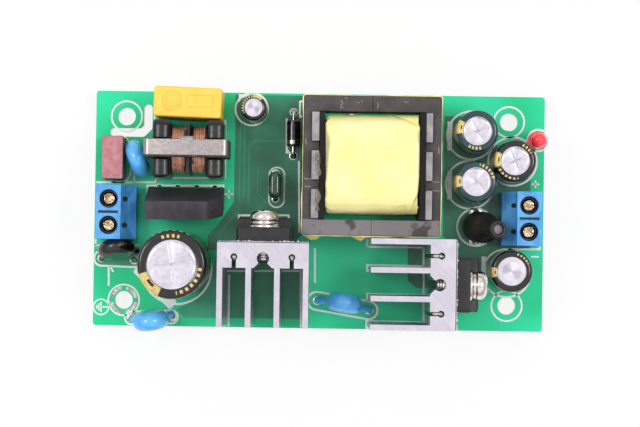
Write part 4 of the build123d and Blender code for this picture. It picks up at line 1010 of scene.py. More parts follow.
# %% Copper on the top
COPPER_TOP = BOARD_TOP + MASK_RISE
POURS = (
    ((-16.2, 22.6), (-2.9, 22.6), (-2.9, -4.8), (-4.2, -6.2), (-14.8, -6.2), (-14.8, -8.0), (-21.2, -8.0),
     (-21.2, -5.0), (-19.6, -3.4), (-18.0, -1.2), (-16.2, 1.6)),
    ((18.0, -6.4), (18.1, -13.3), (19.8, -14.8), (23.0, -14.8), (23.1, -22.6), (26.2, -22.6), (26.2, -6.4)),
    ((24.9, 19.0), (31.4, 19.0), (33.4, 15.6), (36.0, 12.4), (41.9, 6.9), (41.9, -6.6), (36.2, -7.0),
     (33.6, -9.6), (32.2, -14.0), (31.2, -18.4), (26.3, -18.4), (26.3, -6.3), (24.9, -4.6)),
)
THIN_POURS = (
    ((-27.4, -19.7), (-25.5, -21.3), (-1.5, -21.2), (-1.5, -8.02), (-19.3, -8.02), (-20.4, -12.6),
     (-24.2, -18.2)),
    ((-43.0, -8.3), (-34.0, -8.3), (-34.0, -11.2), (-43.0, -11.2)),
)
GAPS = (
    ((-15.2, 17.8), (-15.2, 3.6), (-15.0, 1.2)),
    ((-14.3, 18.6), (-14.3, 2.6)),
    ((-2.95, 13.7), (-12.3, 13.6), (-13.4, 12.5), (-13.4, 1.0)),
    ((-18.9, -5.6), (-18.9, -4.6), (-16.3, -1.4), (-15.1, -0.2)),
    ((-20.7, -4.8), (-20.4, -8.0), (-19.4, -13.1)),
    ((-11.6, 8.6), (-11.6, 3.2), (-9.4, 1.0)),
    ((35.6, 13.2), (36.2, 12.0), (41.6, 7.0)),
    ((27.6, 18.9), (27.6, 13.2)),
    ((25.0, 1.6), (29.0, 1.6), (30.2, 2.8)),
)
SUNK = 0.01


def flat_piece(name, finish, low, high, outlines=(), lines=(), width=0.0):
    """Outlines given a thickness and lines a width and a thickness, all as one piece."""
    shapes = [plate(outline, low, high) for outline in outlines]
    shapes += [ribbon(line, width, low, high) for line in lines]
    return mesh_piece(name, joined(shapes), finish, slot="board")


flat_piece("copper_pours", COPPER_POUR, BOARD_TOP - SUNK, COPPER_TOP, POURS)
flat_piece("thin_copper_pours", THIN_POUR, BOARD_TOP - SUNK, COPPER_TOP - 0.003, THIN_POURS)
flat_piece("copper_gaps", THIN_POUR, COPPER_TOP - SUNK, COPPER_TOP + 0.004, lines=GAPS, width=0.22)

# %% [markdown]
# The underside can't be seen in the photo. It is drawn as such boards have it: wide pours for the
# mains half and for the output half, with a bare strip between them that keeps the two apart.

# %% Copper on the underside
BACK_POURS = (
    ((-42.4, 3.9), (-42.4, -5.6), (-36.4, -5.6), (-34.6, -3.4), (-34.6, 2.8), (-36.4, 4.6)),
    ((-33.2, 1.6), (-18.0, 1.6), (-16.9, -1.4), (-16.9, -6.6), (-24.0, -8.4), (-33.6, -6.2)),
    ((-33.4, -9.0), (-20.4, -10.4), (-18.6, -21.6), (-33.0, -21.8)),
    ((-31.4, 21.6), (-21.2, 21.6), (-21.2, 4.8), (-31.4, 4.8)),
    ((-18.6, 21.6), (-3.4, 21.6), (-3.4, 15.8), (-17.4, 15.6), (-18.2, 13.0), (-18.6, 16.0)),
    ((-16.2, -8.2), (-3.2, -8.2), (-3.2, -21.6), (-16.6, -21.6)),
    ((12.0, 21.8), (33.0, 21.8), (33.6, 16.4), (41.6, 11.4), (41.6, 6.0), (28.4, 7.8), (12.0, 12.4)),
    ((12.0, -6.4), (27.2, 3.4), (34.2, 3.4), (36.4, 2.4), (41.8, 2.4), (41.8, -8.0), (33.2, -14.4),
     (32.6, -21.6), (12.4, -21.6)),
)
BACK_TRACKS = (
    ((-16.6, 12.6), (-19.5, 12.6), (-19.5, 3.2)),
    ((-11.4, 12.6), (-8.0, 12.6), (-8.0, 10.8), (-4.8, 10.8)),
    ((-11.4, 10.2), (-8.6, 8.8), (-8.1, 7.3)),
    ((-16.6, 10.2), (-16.4, 7.8), (-12.9, 5.2), (-8.1, 2.3)),
    ((-11.4, 9.0), (-6.0, 4.0), (-5.6, -1.0), (-9.75, -3.6)),
    ((2.4, -9.2), (-1.0, -9.2), (-1.0, -6.0), (-3.0, 2.0)),
    ((8.8, -9.2), (11.0, -7.4), (24.2, 12.4)),
    ((27.5, 9.4), (26.6, 12.0)),
    ((37.2, 14.0), (39.8, 14.2), (42.0, 13.4)),
)
flat_piece("back_pours", COPPER_POUR, -MASK_RISE, SUNK, BACK_POURS)
flat_piece("back_tracks", THIN_POUR, -MASK_RISE - 0.004, SUNK, lines=BACK_TRACKS, width=0.55)

# %% [markdown]
# The printing is white ink pushed through a mesh: outlines of parts, bars at the negative side of
# the cans, a plus, a minus and an earth sign. Each line is a thin flat strip, so it also shows in
# the exported mesh.

# %% Printed lines
INK_LOW = BOARD_TOP + 0.01
INK_TOP = COPPER_TOP + PRINT_RISE
THIN, FINE = 0.38, 0.32
OPEN_LINES = (
    ((-35.9, 8.35), (-35.83, 5.1), (-31.68, 5.16), (-31.72, 7.21)),
    ((-43.25, 4.98), (-35.83, 5.1)),
    ((-33.2, 1.0), (-33.24, 4.48), (-18.31, 4.71), (-18.29, 1.0)),
    ((-31.7, 6.9), (-31.7, 6.01), (-18.03, 6.21), (-18.15, 17.6)),
    ((-32.04, 17.28), (-32.06, 18.48), (-31.4, 18.5)),
    ((-6.12, 18.12), (-6.01, 11.21)),
    ((-3.61, 9.74), (-3.3, -4.34)),
    ((-43.4, -7.36), (-34.6, -7.24)),
    ((-43.2, -6.16), (-43.2, -7.36)),
    ((-40.56, -11.52), (-40.49, -15.27)),
    ((-40.26, -11.51), (-39.64, -12.55)),
    ((-15.21, -6.2), (-15.21, -1.07), (-5.46, -0.92), (-4.93, -6.2)),
    ((37.67, -6.91), (43.9, -6.81), (43.9, -6.3)),
    ((-0.19, -7.27), (-0.08, -14.09)),
    ((-17.75, -22.8), (-17.74, -12.0), (-2.89, -11.8), (-2.71, -22.8)),
    ((21.1, -6.78), (21.32, -22.2)),
    ((10.02, -6.9), (10.02, -5.5), (21.2, -5.5)),
    ((21.2, -6.85), (10.02, -6.85)),
    ((21.1, -10.5), (10.1, -10.4), (10.1, -11.5), (12.0, -11.5)),
    ((21.2, -16.2), (10.2, -16.1), (10.2, -17.3), (12.0, -17.3)),
    ((21.3, -21.5), (10.1, -21.4), (10.1, -22.7), (12.0, -22.7)),
    ((-16.9, -12.6), (-16.9, -22.8)),
)
DIODE_BOX = ((-3.56, 21.47), (-2.4, 21.5), (-2.4, 18.5), (-3.56, 18.48))
HOLES = ((-37.5, 18.0), (37.5, 18.0), (37.5, -18.0))


def line_art():
    """Strips of ink along open lines and closed outlines, as (points, width, closed)."""
    art = [(circle(x, y, 2.98, 56), 0.34, True) for x, y in HOLES]
    art.append((circle(-37.5, -18.0, 3.02, 56), 0.3, True))
    art += [(points, THIN, False) for points in OPEN_LINES]
    cans = ((-27.25, -11.8, 6.85, 96), (30.1, 15.3, 4.7, 64), (30.0, 5.6, 4.7, 64), (38.3, 10.3, 4.75, 64),
            (37.4, -11.6, 4.7, 64), (31.26, -2.69, 3.65, 56))
    discs = ((0.3, -17.6, 10.5, -19.3, 1.75), (-35.95, -21.5, -28.1, -21.2, 1.25),
             (-42.0, -9.9, -35.5, -10.1, 1.45), (-39.0, 7.4, -39.0, 11.6, 2.5))
    art += [(DIODE_BOX, FINE, True), (circle(-13.0, 19.82, 3.2), FINE, True)]
    art += [(circle(*can), THIN, True) for can in cans]
    art.append((stadium(-7.87, 6.95, -7.87, 2.1, 1.5), 0.3, True))
    art += [(stadium(*disc), THIN, True) for disc in discs]
    art.append((circle(43.3, 14.5, 2.1, 40, 60, 300), THIN, False))
    return art


print("outlines and lines", len(line_art()))

# %% [markdown]
# A plus stands by the bridge and by the output, a minus by the other output pole, and an earth sign
# in a ring by the earthed hole. The cans' negative sides have filled bars. All words of the real
# board are left out.


# %% Signs and bars
def signs():
    """Generic marks as (points, width, closed): strokes of one length either side of a middle."""
    art = []
    for x, y, arm in ((-17.23, 3.07, 0.9), (42.87, 5.9, 0.75)):
        art += [(((x - arm, y), (x + arm, y)), 0.3, False), (((x, y - arm), (x, y + arm)), 0.3, False)]
    art.append((((42.2, -8.3), (43.7, -8.3)), 0.3, False))
    x, y = -41.92, -19.43
    art.append((circle(x, y, 1.5, 36), 0.26, True))
    art.append((((x, y), (x + 1.45, y)), 0.26, False))
    for n, half in enumerate((1.0, 0.68, 0.36)):
        art.append((((x - 0.42 * n, y - half), (x - 0.42 * n, y + half)), 0.24, False))
    return art


SOLID_BARS = (
    ((-15.6, 22.7), (-11.2, 22.7), (-11.2, 21.66), (-13.4, 22.6), (-15.0, 21.9), (-15.6, 21.0)),
    ((-35.74, -12.49), (-33.3, -8.4), (-31.4, -8.9), (-28.0, -16.4), (-27.2, -18.3), (-28.41, -19.82)),
    ((25.46, 17.98), (26.45, 17.98), (26.35, 12.29), (25.46, 12.29)),
    ((25.6, 8.21), (26.5, 8.21), (26.49, 2.69), (25.6, 2.69)),
    ((32.49, -8.39), (33.4, -8.39), (33.36, -12.28), (32.49, -12.28)),
    ((-6.19, 11.21), (-5.2, 11.22), (-6.03, 12.41)),
)


def on_board(shape, margin=0.05):
    """The same shape with x and y held a margin inside the board: ink ends at the cut edge."""
    points, faces = shape
    low, high = (np.array(corner[:2]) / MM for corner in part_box("circuit_board"))
    return np.column_stack((points[:, :2].clip(low + margin, high - margin), points[:, 2])), faces


ink = [ribbon(points, width, INK_LOW, INK_TOP, closed) for points, width, closed in line_art() + signs()]
ink += [plate(outline, INK_LOW, INK_TOP - 0.004) for outline in SOLID_BARS]
mesh_piece("printed_lines", on_board(joined(ink)), WHITE_PRINT, slot="board")

# %% [markdown]
# Solder wets each pad and climbs the wire a little. On the top the bare rings show at the diode,
# the inductor, the discs and the earthed hole, whose four arcs of tin sit round the bore.


# %% Pads and solder on the top
def solder_ring(x, y, wire, pad, rise=0.25):
    """A lathe shape: height over the board grows as the power 2.2 of the way from rim to wire."""
    r = np.linspace(pad, wire, 9)
    t = (pad - r) / (pad - wire)
    z = BOARD_TOP + 0.04 + rise * t ** 2.2
    profile = [(pad + 0.02, BOARD_TOP - SUNK), *zip(r, z), (wire, BOARD_TOP - SUNK)]
    return moved(lathe(profile, 28), (x, y, 0))


# wire radius, pad radius: the places of the pads that have them
PADS = {
    (0.36, 0.82): ((-4.75, 19.35), (-4.75, 10.75)),
    (0.4, 1.35): ((31.3, 0.0), (31.3, -5.1)),
    (0.4, 0.8): ((-42.0, -9.9), (-35.6, -10.2)),
    (0.3, 0.85): ((-36.0, -21.5), (-27.8, -21.2), (0.4, -17.6), (10.6, -19.3)),
    (0.2, 0.85): ((6.6, 18.6),),
    (0.3, 0.9): ((-30.95, 4.0), (-27.3, 4.0), (-23.6, 4.0), (-20.0, 4.0)),
    (0.25, 0.7): ((-12.1, 19.2),),
    (0.25, 0.75): ((-8.1, 7.3), (-8.1, 2.3)),
}
tin = [solder_ring(x, y, *radii) for radii, places in PADS.items() for x, y in places]
for start in (10, 100, 190, 280):
    arc = circle(-37.5, -18.0, 2.4, 20, start, start + 70)
    tin.append(ribbon(arc, 0.66, BOARD_TOP - SUNK, BOARD_TOP + 0.05))
mesh_piece("top_solder", joined(tin), SOLDER, slot="solder", smooth_deg=60)

# %% [markdown]
# The transformer's coil is layers of wire under several turns of tape. It is drawn tight over a
# square former, so its section is a square with very round corners, carried along the core's
# middle leg. The tape's edges wander, and it sags a little towards the flanges. One grid over
# length and turn gives all of this, where a box with a bevel would look moulded.


# %% Taped coil
def span(node):
    """The lowest and highest corner of a node, in millimetres."""
    low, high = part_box(node)
    return np.array(low) / MM, np.array(high) / MM


def ripple(t, terms):
    """A sum of sines: amplitude times the sine of turns times t, plus a phase, for each term."""
    return sum(a * np.sin(2 * np.pi * n * t + p) for a, n, p in terms)


COIL_LOW, COIL_HIGH = span("transformer_winding")
COIL_LOW = COIL_LOW + np.array([-0.05, 0.0, 0.0])
COIL_HIGH = COIL_HIGH + np.array([-0.05, 0.45, -0.1])


def coil_section(v, squareness=0.42):
    """A point of the coil's section: both cosine and sine raised to a power under one."""
    c, s = np.cos(2 * np.pi * v), np.sin(2 * np.pi * v)
    return np.sign(c) * np.abs(c) ** squareness, np.sign(s) * np.abs(s) ** squareness


def coil_surface(along=72, around=160):
    """Grid over length and turn: the section scaled by a crown that falls at the ends,
    each end's edge moved along the axis by a ripple round the turn."""
    u = np.linspace(0, 1, along)[:, None]
    v = np.arange(around)[None] / around
    cy, cz = coil_section(v)
    middle = (COIL_LOW + COIL_HIGH) / 2
    half = (COIL_HIGH - COIL_LOW) / 2
    end = np.abs(2 * u - 1)
    crown = 1.0 - 0.012 * end ** 6 - 0.05 * end ** 40
    wave = ripple(u, ((0.0022, 3, 0.6), (0.0014, 7, 2.0)))
    wave = wave + ripple(v + 0.15 * u, ((0.0016, 9, 0.0), (0.001, 17, 1.0)))
    lap = 0.006 / (1 + np.exp(-(np.cos(2 * np.pi * (v - 0.335)) - 0.985) * 900))
    scale = crown + np.minimum(wave, 0.004) * (1 - end ** 8) - 0.006 + lap
    edge = ripple(v, ((0.22, 5, 0.4), (0.16, 9, 1.7), (0.1, 14, 0.2)))
    other = ripple(v, ((0.2, 4, 2.4), (0.18, 8, 0.3), (0.1, 13, 1.2)))
    reach = half[0] - 0.32
    side = 2 * u - 1
    x = middle[0] + side * reach + edge * np.clip(-side, 0, 1) ** 2 + other * np.clip(side, 0, 1) ** 2
    y = middle[1] + (half[1] - 0.02) * cy * scale
    z = middle[2] + (half[2] - 0.02) * cz * scale
    return bar_skin(np.stack(np.broadcast_arrays(x, y, z), -1))


mesh_piece(
    "taped_coil", coil_surface(), FILM_TAPE, slot="coil_tape", smooth_deg=60,
    stands_for=["transformer_winding"],
)

# %% [markdown]
# A band of the same tape holds the two core halves together. Its turns don't lie quite flat: they
# stand off the corners and bulge where the end was pressed down.


# %% Core tape band
BAND_LOW, BAND_HIGH = span("transformer_core_tape")


def band_surface(count=360):
    """A rounded rectangle round the core, pushed out by a ripple, carried up as a thin wall:
    outer side up, top edge, inner side down, so the ring of each station is closed."""
    inset = 0.02
    loop = round_box(*(BAND_LOW[:2] + inset), *(BAND_HIGH[:2] - inset), 0.5, 9)
    gaps = np.linalg.norm(np.roll(loop, -1, 0) - loop, axis=1)
    walk = np.concatenate([[0], np.cumsum(gaps)])
    t = np.linspace(0, walk[-1], count, endpoint=False)
    closed = np.vstack([loop, loop[:1]])
    line = np.stack([np.interp(t, walk, closed[:, n]) for n in (0, 1)], -1)
    out = unit(np.roll(line, -1, 0) - np.roll(line, 1, 0))
    out = np.stack([out[:, 1], -out[:, 0]], -1)
    s = t / walk[-1]
    loose = 0.07 + np.maximum(ripple(s, ((0.05, 5, 0.3), (0.04, 11, 2.0), (0.03, 23, 1.0))), -0.05)
    high = BAND_HIGH[2] + 0.25 + ripple(s, ((0.09, 4, 1.0), (0.05, 13, 0.5)))
    low = BAND_LOW[2] - 0.1 + ripple(s, ((0.09, 3, 2.0), (0.05, 9, 0.5)))
    outer = line + out * loose[:, None]
    inner = line - out * 0.05
    ring = [np.c_[outer, low], np.c_[outer, high], np.c_[inner, high], np.c_[inner, low]]
    return skin(np.stack(ring, 1), wrap_rows=True, wrap_cols=True)


mesh_piece(
    "core_tape_band", band_surface(), FILM_TAPE, slot="coil_tape", stands_for=["transformer_core_tape"]
)

# %% [markdown]
# The choke's coils are thick enamelled wire, wound by machine but not perfectly: turns lean and
# ride up. A helix with a little noise in its radius, in two layers, gives that.


# %% Wound wire
def helix(low, high, turns, radius, wire, phase, steps=44):
    """Points round an axis along X: x rises evenly, y and z go round, the radius wanders."""
    t = np.linspace(0, turns, int(turns * steps))
    a = 2 * np.pi * t + phase
    middle = (low + high) / 2
    wander = ripple(t / turns, ((0.05, 3, phase), (0.035, 11, 1.3 * phase))) * 1.4
    drift = ripple(t / turns, ((0.05, 7, 2.1 + phase),))
    x = low[0] + wire + (high[0] - low[0] - 2 * wire) * t / turns + drift
    y = middle[1] + (radius + wander) * np.cos(a)
    z = middle[2] + (radius + wander) * np.sin(a)
    return np.stack([x, y, z], -1)


def choke_coil(node, phase):
    """Two layers of one wire, the lower one filling the gaps of the upper."""
    low, high = span(node)
    wire = 0.21
    outer = (high[1] - low[1]) / 2 - wire - 0.1
    layers = [
        tube(helix(low, high, 6.0, outer, wire, phase), wire, 8, up=(1, 0, 0)),
        tube(helix(low, high, 5.0, outer - 0.34, wire, phase + 2.0), wire, 8, up=(1, 0, 0)),
    ]
    core = lathe([(outer - 0.5, low[0] + 0.1), (outer - 0.5, high[0] - 0.1)], 48)
    middle = (low + high) / 2
    layers.append(moved(moved(core, turn=90, axis="Y"), (0, middle[1], middle[2])))
    return mesh_piece(
        node + "_wire", joined(layers), ENAMEL_WIRE, slot="copper_wire", smooth_deg=60, stands_for=[node]
    )


for node_name, phase in (("choke_winding_left", 0.4), ("choke_winding_right", 2.3)):
    choke_coil(node_name, phase)

# %% [markdown]
# Dipped parts get their skin from a bath: the resin runs into every corner, so disc and legs melt
# into one smooth blob. A copy of the solid is turned into small voxels and smoothed, which rounds
# it in the same way.


# %% Dipped blobs
def dipped(node, finish, voxel=0.17, rounds=7):
    """A copy of a node, remeshed into even voxels and smoothed: each point goes half way to the
    mean of its neighbours, so many times."""
    piece = merged_copy(node, "_dipped")
    blocks = piece.modifiers.new("voxels", "REMESH")
    blocks.mode = "VOXEL"
    blocks.voxel_size = voxel * MM
    blocks.use_smooth_shade = True
    soft = piece.modifiers.new("soft", "SMOOTH")
    soft.factor = 0.5
    soft.iterations = rounds
    shape = bpy.data.meshes.new_from_object(piece.evaluated_get(bpy.context.evaluated_depsgraph_get()))
    piece.modifiers.clear()
    piece.data = shape
    shape.materials.clear()
    shape.materials.append(finish)
    return stand_in(piece, node)


for node_name in ("varistor", "earth_capacitor", "bridging_capacitor", "inrush_thermistor"):
    dipped(node_name, finish_of(node_name))

# %% [markdown]
# Every electrolytic can wears a shrunk sleeve, printed with gold: a band down the negative side
# with dark dashes in it, and rows of small marks. Here the marks are plain bars. They follow the
# angle round the can's own axis, so one finish is written for each can.


# %% Printed sleeve finish
def facing_mask(dx, dy, r, middle_deg, half_deg):
    """1 where the direction from the axis lies within half_deg of middle_deg, by the cosine
    of the angle between them."""
    a = math.radians(middle_deg)
    cosine = (dx * math.cos(a) + dy * math.sin(a)) / r
    return cosine.ramp(math.cos(math.radians(half_deg + 1.5)), math.cos(math.radians(half_deg - 1.5)))


def within(value, low, high, soft):
    """1 between two limits, with soft edges."""
    return value.ramp(low - soft, low + soft) * value.ramp(high + soft, high - soft)


def sleeve_finish(name, at, top_z, rim, radius, film, band, rows):
    """Film, gold band and rows of gold bars. Rows are (middle, half, low, high, bars per turn);
    on the shoulder low and high are radii, on the wall they are depths below the top, negative."""
    paint = Paint(name, Coat_Weight=0.4, Coat_Roughness=0.08)
    x, y, z = paint.axes()
    dx, dy = x - at[0], y - at[1]
    r = (dx * dx + dy * dy) ** 0.5
    angle = dx.turn_to(dy)
    wall = z.ramp(top_z - 0.25, top_z - 0.45)
    cloud = paint.noise(0.6, 3.0)
    base = paint.blend(cloud.ramp(0.3, 0.7), film[0], film[1])
    gold = paint.blend(paint.noise(3.0, 4.0).ramp(0.3, 0.7), tone(196, 166, 92), tone(236, 212, 136))
    band_middle, band_half = band
    ink = facing_mask(dx, dy, r, band_middle, band_half)
    on_shoulder = r.ramp(rim + 0.07, rim + 0.17)
    reach = on_shoulder.most(wall)
    ink = ink * reach
    dash_up = within(r, rim + 0.3, (rim + radius) / 2 - 0.05, 0.05) * (1 - wall)
    dash_side = (z * 1.9).sin().ramp(0.55, 0.7) * wall
    dash = facing_mask(dx, dy, r, band_middle, band_half * 0.36) * dash_up.most(dash_side)
    ink = ink * (1 - dash)
    for middle, half, low, high, bars in rows:
        where = facing_mask(dx, dy, r, middle, half)
        stroke = (angle * float(bars)).sin().ramp(-0.15, 0.1)
        if high > 0:
            span_mask = within(r, low, high, 0.04) * (1 - wall)
        else:
            span_mask = within(z, top_z + low, top_z + high, 0.06) * wall
        ink = ink.most(where * stroke * span_mask)
    paint.color(paint.blend(ink, base, gold))
    paint.rough(cloud * 0.1 + 0.16 + ink * 0.2)
    paint.bump(cloud, 0.02)
    return paint.material


BLACK_INKED = (tone(10, 9, 11), tone(24, 22, 25))
TEAL_INKED = (tone(16, 46, 54), tone(32, 68, 76))
print("sleeve finish ready")

# %% [markdown]
# A sleeve is a lathe shape: up the wall, with a dip over the bead that holds the rubber bung,
# round the shoulder and in to a lip. The metal top it leaves bare is a disc that the press has
# scored with a cross, so that it opens before the can bursts; the four sectors lie at slightly
# different slopes and catch the light differently.

# %% Sleeves and can tops
CAN_WALL = 0.15


def sleeve_shape(at, radius, rim, top_z, crown=0.75):
    """Profile of radius over height; the bead is a bell-shaped dip in the wall's radius."""
    z = np.linspace(BOARD_TOP + 0.02, top_z - crown, 26)
    bead = 0.28 * np.exp(-(((z - BOARD_TOP - 2.0) / 0.45) ** 2))
    a = np.radians(np.linspace(0, 90, 10))[1:]
    shoulder = np.stack([radius - crown + crown * np.cos(a), top_z - crown + crown * np.sin(a)], -1)
    lip = [(rim + 0.1, top_z), (rim, top_z - 0.05), (rim, top_z - CAN_WALL)]
    bore = radius - CAN_WALL
    inside = [(radius - crown, top_z - CAN_WALL), (bore, top_z - crown), (bore, BOARD_TOP + 0.02)]
    outer = np.stack([radius - bead, z], -1)
    return moved(lathe(np.vstack([outer, shoulder, lip, inside]), 96, ring=True), (*at, 0))


def can_top_shape(at, rim, top_z, cross_deg=None):
    """A disc on a polar grid: a low dome, lowered along the cross by a narrow bell, each sector
    raised a little towards its own middle."""
    r = np.linspace(0, rim + 0.08, 34)[1:, None]
    a = np.linspace(0, 2 * np.pi, 144, endpoint=False)[None]
    z = 0.07 * (1 - (r / rim) ** 2) + 0 * a
    if cross_deg is not None:
        turned = a - math.radians(cross_deg)
        fade = np.clip((rim * 0.97 - r) / 0.3, 0, 1)
        near = np.minimum(np.abs(r * np.sin(turned)), np.abs(r * np.cos(turned)))
        z = z - 0.16 * np.exp(-((near / 0.1) ** 2)) * fade
        z = z + 0.16 * np.abs(np.sin(2 * turned)) * (r / rim) * fade * (1 + 0.5 * np.sin(turned + 0.7))
    z = z + top_z - CAN_WALL - 0.06
    grid = np.stack(np.broadcast_arrays(r * np.cos(a), r * np.sin(a), z), -1)
    points, faces = skin(grid, wrap_cols=True)
    centre = np.array([[0.0, 0.0, z[0].mean()]])
    cols = a.shape[1]
    skirt = grid[-1] - np.array([0, 0, 0.12])
    hub, rim_row, low_row = len(points), len(points) - cols, len(points) + 1
    here = np.arange(cols)
    after = (here + 1) % cols
    faces += np.stack([np.full(cols, hub), after, here], -1).tolist()
    faces += np.stack([rim_row + here, rim_row + after, low_row + after, low_row + here], -1).tolist()
    faces.append((low_row + here[::-1]).tolist())
    return moved((np.vstack([points, centre, skirt]), faces), (*at, 0))


def turned_top_finish(name, at, plain):
    """Bright rolled aluminium; a plain top is spun, and two opposite rays of painted highlight stand for the
    lamps' reflection in its turned grooves.
    """
    paint = Paint(name, Metallic=0.9)
    x, y, _ = paint.axes()
    dx, dy = x - at[0], y - at[1]
    angle = dx.turn_to(dy)
    grain = paint.noise(1.4, 6.0, 0.65)
    # On a plain top the rays are painted highlight in the colour; a scored top has grain only.
    rays = (angle * 2.0 - 0.7).sin() * 0.7 + (angle * 9.0).sin() * 0.12 + 0.4 if plain else grain
    painted_highlight_and_grain = (rays * 0.6 + grain * 0.4).ramp(0.0, 0.8)
    paint.color(paint.blend(painted_highlight_and_grain, tone(178, 173, 184), tone(222, 217, 228)))
    paint.rough(grain * 0.2 + 0.3)
    paint.bump(grain, 0.008)
    return paint.material


CANS = (
    # name, sleeve's node, place, outer radius, bare rim radius, top, cross, film, band, rows
    ("bulk", "bulk_capacitor_sleeve", (-26.9, -10.9), 6.5, 4.65, 22.27, 8.0, BLACK_INKED, (222, 25), (
        (95, 20, 5.1, 5.7, 34), (318, 38, 5.1, 5.75, 30), (95, 38, -0.95, -0.35, 30),
        (300, 30, -1.2, -0.5, 28), (60, 50, -9.0, -7.6, 24), (20, 60, -12.5, -11.2, 30),
        (330, 40, -6.0, -4.6, 20),
    )),
    ("supply", "supply_capacitor_sleeve", (-12.3, 19.4), 2.5, 1.8, 12.77, None, BLACK_INKED, (70, 24), (
        (150, 60, 1.95, 2.3, 26), (340, 50, -1.2, -0.5, 22), (180, 60, -4.0, -3.2, 20),
    )),
    ("output_a", "output_capacitor_sleeves", (30.6, 15.5), 4.0, 2.75, 13.77, 24.0, TEAL_INKED, (168, 20), (
        (262, 22, 3.05, 3.6, 30), (40, 60, -4.0, -3.0, 20), (300, 50, -7.0, -6.0, 22),
    )),
    ("output_b", "output_capacitor_sleeves", (30.5, 5.8), 4.0, 2.75, 13.77, 45.0, TEAL_INKED, (180, 17), (
        (45, 34, 3.05, 3.6, 28), (40, 60, -4.0, -3.0, 20), (300, 50, -7.0, -6.0, 22),
    )),
    ("output_c", "output_capacitor_sleeves", (37.9, 9.9), 4.0, 2.75, 13.77, 20.0, BLACK_INKED, (176, 22), (
        (48, 20, 3.05, 3.6, 30), (240, 40, 3.2, 3.6, 26), (40, 60, -4.0, -3.0, 20), (300, 50, -7.0, -6.0, 22),
    )),
    ("output_d", "output_capacitor_sleeves", (37.5, -11.2), 4.0, 2.75, 13.77, None, BLACK_INKED, (184, 15), (
        (52, 26, 3.25, 3.6, 32), (40, 60, -4.0, -3.0, 20), (300, 50, -7.0, -6.0, 22),
    )),
)


def dress_can(name, node, at, radius, rim, top_z, cross, film, band, rows):
    """Sleeve and top of one can."""
    finish = sleeve_finish(name + "_film", at, top_z, rim, radius, film, band, rows)
    wall = sleeve_shape(at, radius, rim, top_z)
    mesh_piece(name + "_sleeve", wall, finish, slot=SLOTS[node], stands_for=[node])
    bright = turned_top_finish(name + "_top_metal", at, cross is None)
    disc = can_top_shape(at, rim, top_z, cross)
    mesh_piece(name + "_top", disc, bright, slot="can_aluminium", smooth_deg=50)


for row in CANS:
    dress_can(*row)

# %% [markdown]
# A pan-head screw, a split spring washer and a flat washer press each package to its sink. All
# are turned or stamped and plated, so their edges are round; three bright rings show from above.


# %% Package screws and washers
def cross_dent(x, y, half_length, half_width, depth):
    """Depth of a cross recess at a place: full inside either bar, fading over a tenth."""
    soft = 0.1
    inside = lambda v, limit: np.clip((limit - np.abs(v)) / soft, 0, 1)
    one = inside(x, half_length) * inside(y, half_width)
    other = inside(y, half_length) * inside(x, half_width)
    return depth * np.maximum(one, other)


def screw_shape(radius, height, shank, length, recess, turn_deg=0.0, flat_top=0.45, wing=(0.58, 0.13)):
    """A pan head on a polar grid: a quarter ellipse from the seat to the top, with a cross
    recess pressed in, and below it a shank whose radius dips in every thread."""
    t = np.linspace(0, np.pi / 2, 12)
    wide = flat_top * radius + (1 - flat_top) * radius * np.cos(t)
    side = np.stack([wide, height * (0.3 + 0.7 * np.sin(t))], -1)
    inner = np.stack([np.linspace(flat_top * radius, 0.02, 16)[1:], np.full(15, height)], -1)
    down = np.linspace(-length, -0.12, 60)
    thread = np.stack([shank - 0.14 * np.abs(np.sin(np.pi * down / 0.5)), down], -1)
    seat = [(shank, 0.0), (radius * 0.94, 0.0), (radius, height * 0.1)]
    profile = np.vstack([thread, seat, side, inner])
    a = np.linspace(0, 2 * np.pi, 72, endpoint=False)[None]
    r, h = profile[:, :1], profile[:, 1:]
    x, y = r * np.cos(a), r * np.sin(a)
    w = math.radians(turn_deg)
    u, v = x * math.cos(w) + y * math.sin(w), y * math.cos(w) - x * math.sin(w)
    top_side = (np.arange(len(profile)) > len(thread) + 5)[:, None]
    z = h - cross_dent(u, v, radius * wing[0], radius * wing[1], recess) * top_side
    return bar_skin(np.stack(np.broadcast_arrays(x, y, z), -1))


def washer_shape(outer, bore, thickness, soft, slit_deg=0.0):
    """A ring with a round-cornered section; a slit leaves it open like a spring."""
    section = round_box(bore, 0.0, outer, thickness, soft, 5)
    a = np.radians(np.linspace(slit_deg / 2, 360 - slit_deg / 2, 72, endpoint=slit_deg > 0))
    lift = np.linspace(0, 0.12, len(a)) if slit_deg else np.zeros(len(a))
    r, z = section[None, :, 0], section[None, :, 1]
    grid = np.stack([r * np.cos(a)[:, None], r * np.sin(a)[:, None], z + lift[:, None] + 0 * r], -1)
    closed = slit_deg == 0
    return skin(grid, wrap_rows=closed, wrap_cols=True, cap_first=not closed, cap_last=not closed)


def package_fixings():
    """Screws and washers on both packages: drawn upright, laid along the screw's axis."""
    low, high = span("package_screws")
    _, spring_high = span("spring_washers")
    axis_z = (low[2] + high[2]) / 2
    head_seat = spring_high[1]
    other_seat = high[0] - (high[1] - head_seat)
    places = (
        (lambda s: moved(moved(s, turn=-90, axis="X"), (-9.75, 0, axis_z)), head_seat, 1),
        (lambda s: moved(moved(s, turn=90, axis="Y"), (0, -13.95, axis_z)), other_seat, 0),
    )
    heads, springs, flats = [], [], []
    for lay, seat, axis in places:
        carry = np.eye(3)[1 if axis else 0]
        put = lambda shape, out: moved(lay(shape), carry * out)
        heads.append(put(screw_shape(2.72, 2.08, 1.45, 7.5, 0.9, 20.0), seat))
        springs.append(put(washer_shape(2.58, 1.6, 0.74, 0.3, 8.0), seat - 0.8))
        flats.append(put(washer_shape(2.92, 1.55, 0.56, 0.18), seat - 1.36))
    for name, shapes in (("package_screws", heads), ("spring_washers", springs), ("flat_washers", flats)):
        rings = joined(shapes)
        mesh_piece(name + "_turned", rings, NICKEL, slot="nickel_steel", smooth_deg=50, stands_for=[name])


package_fixings()

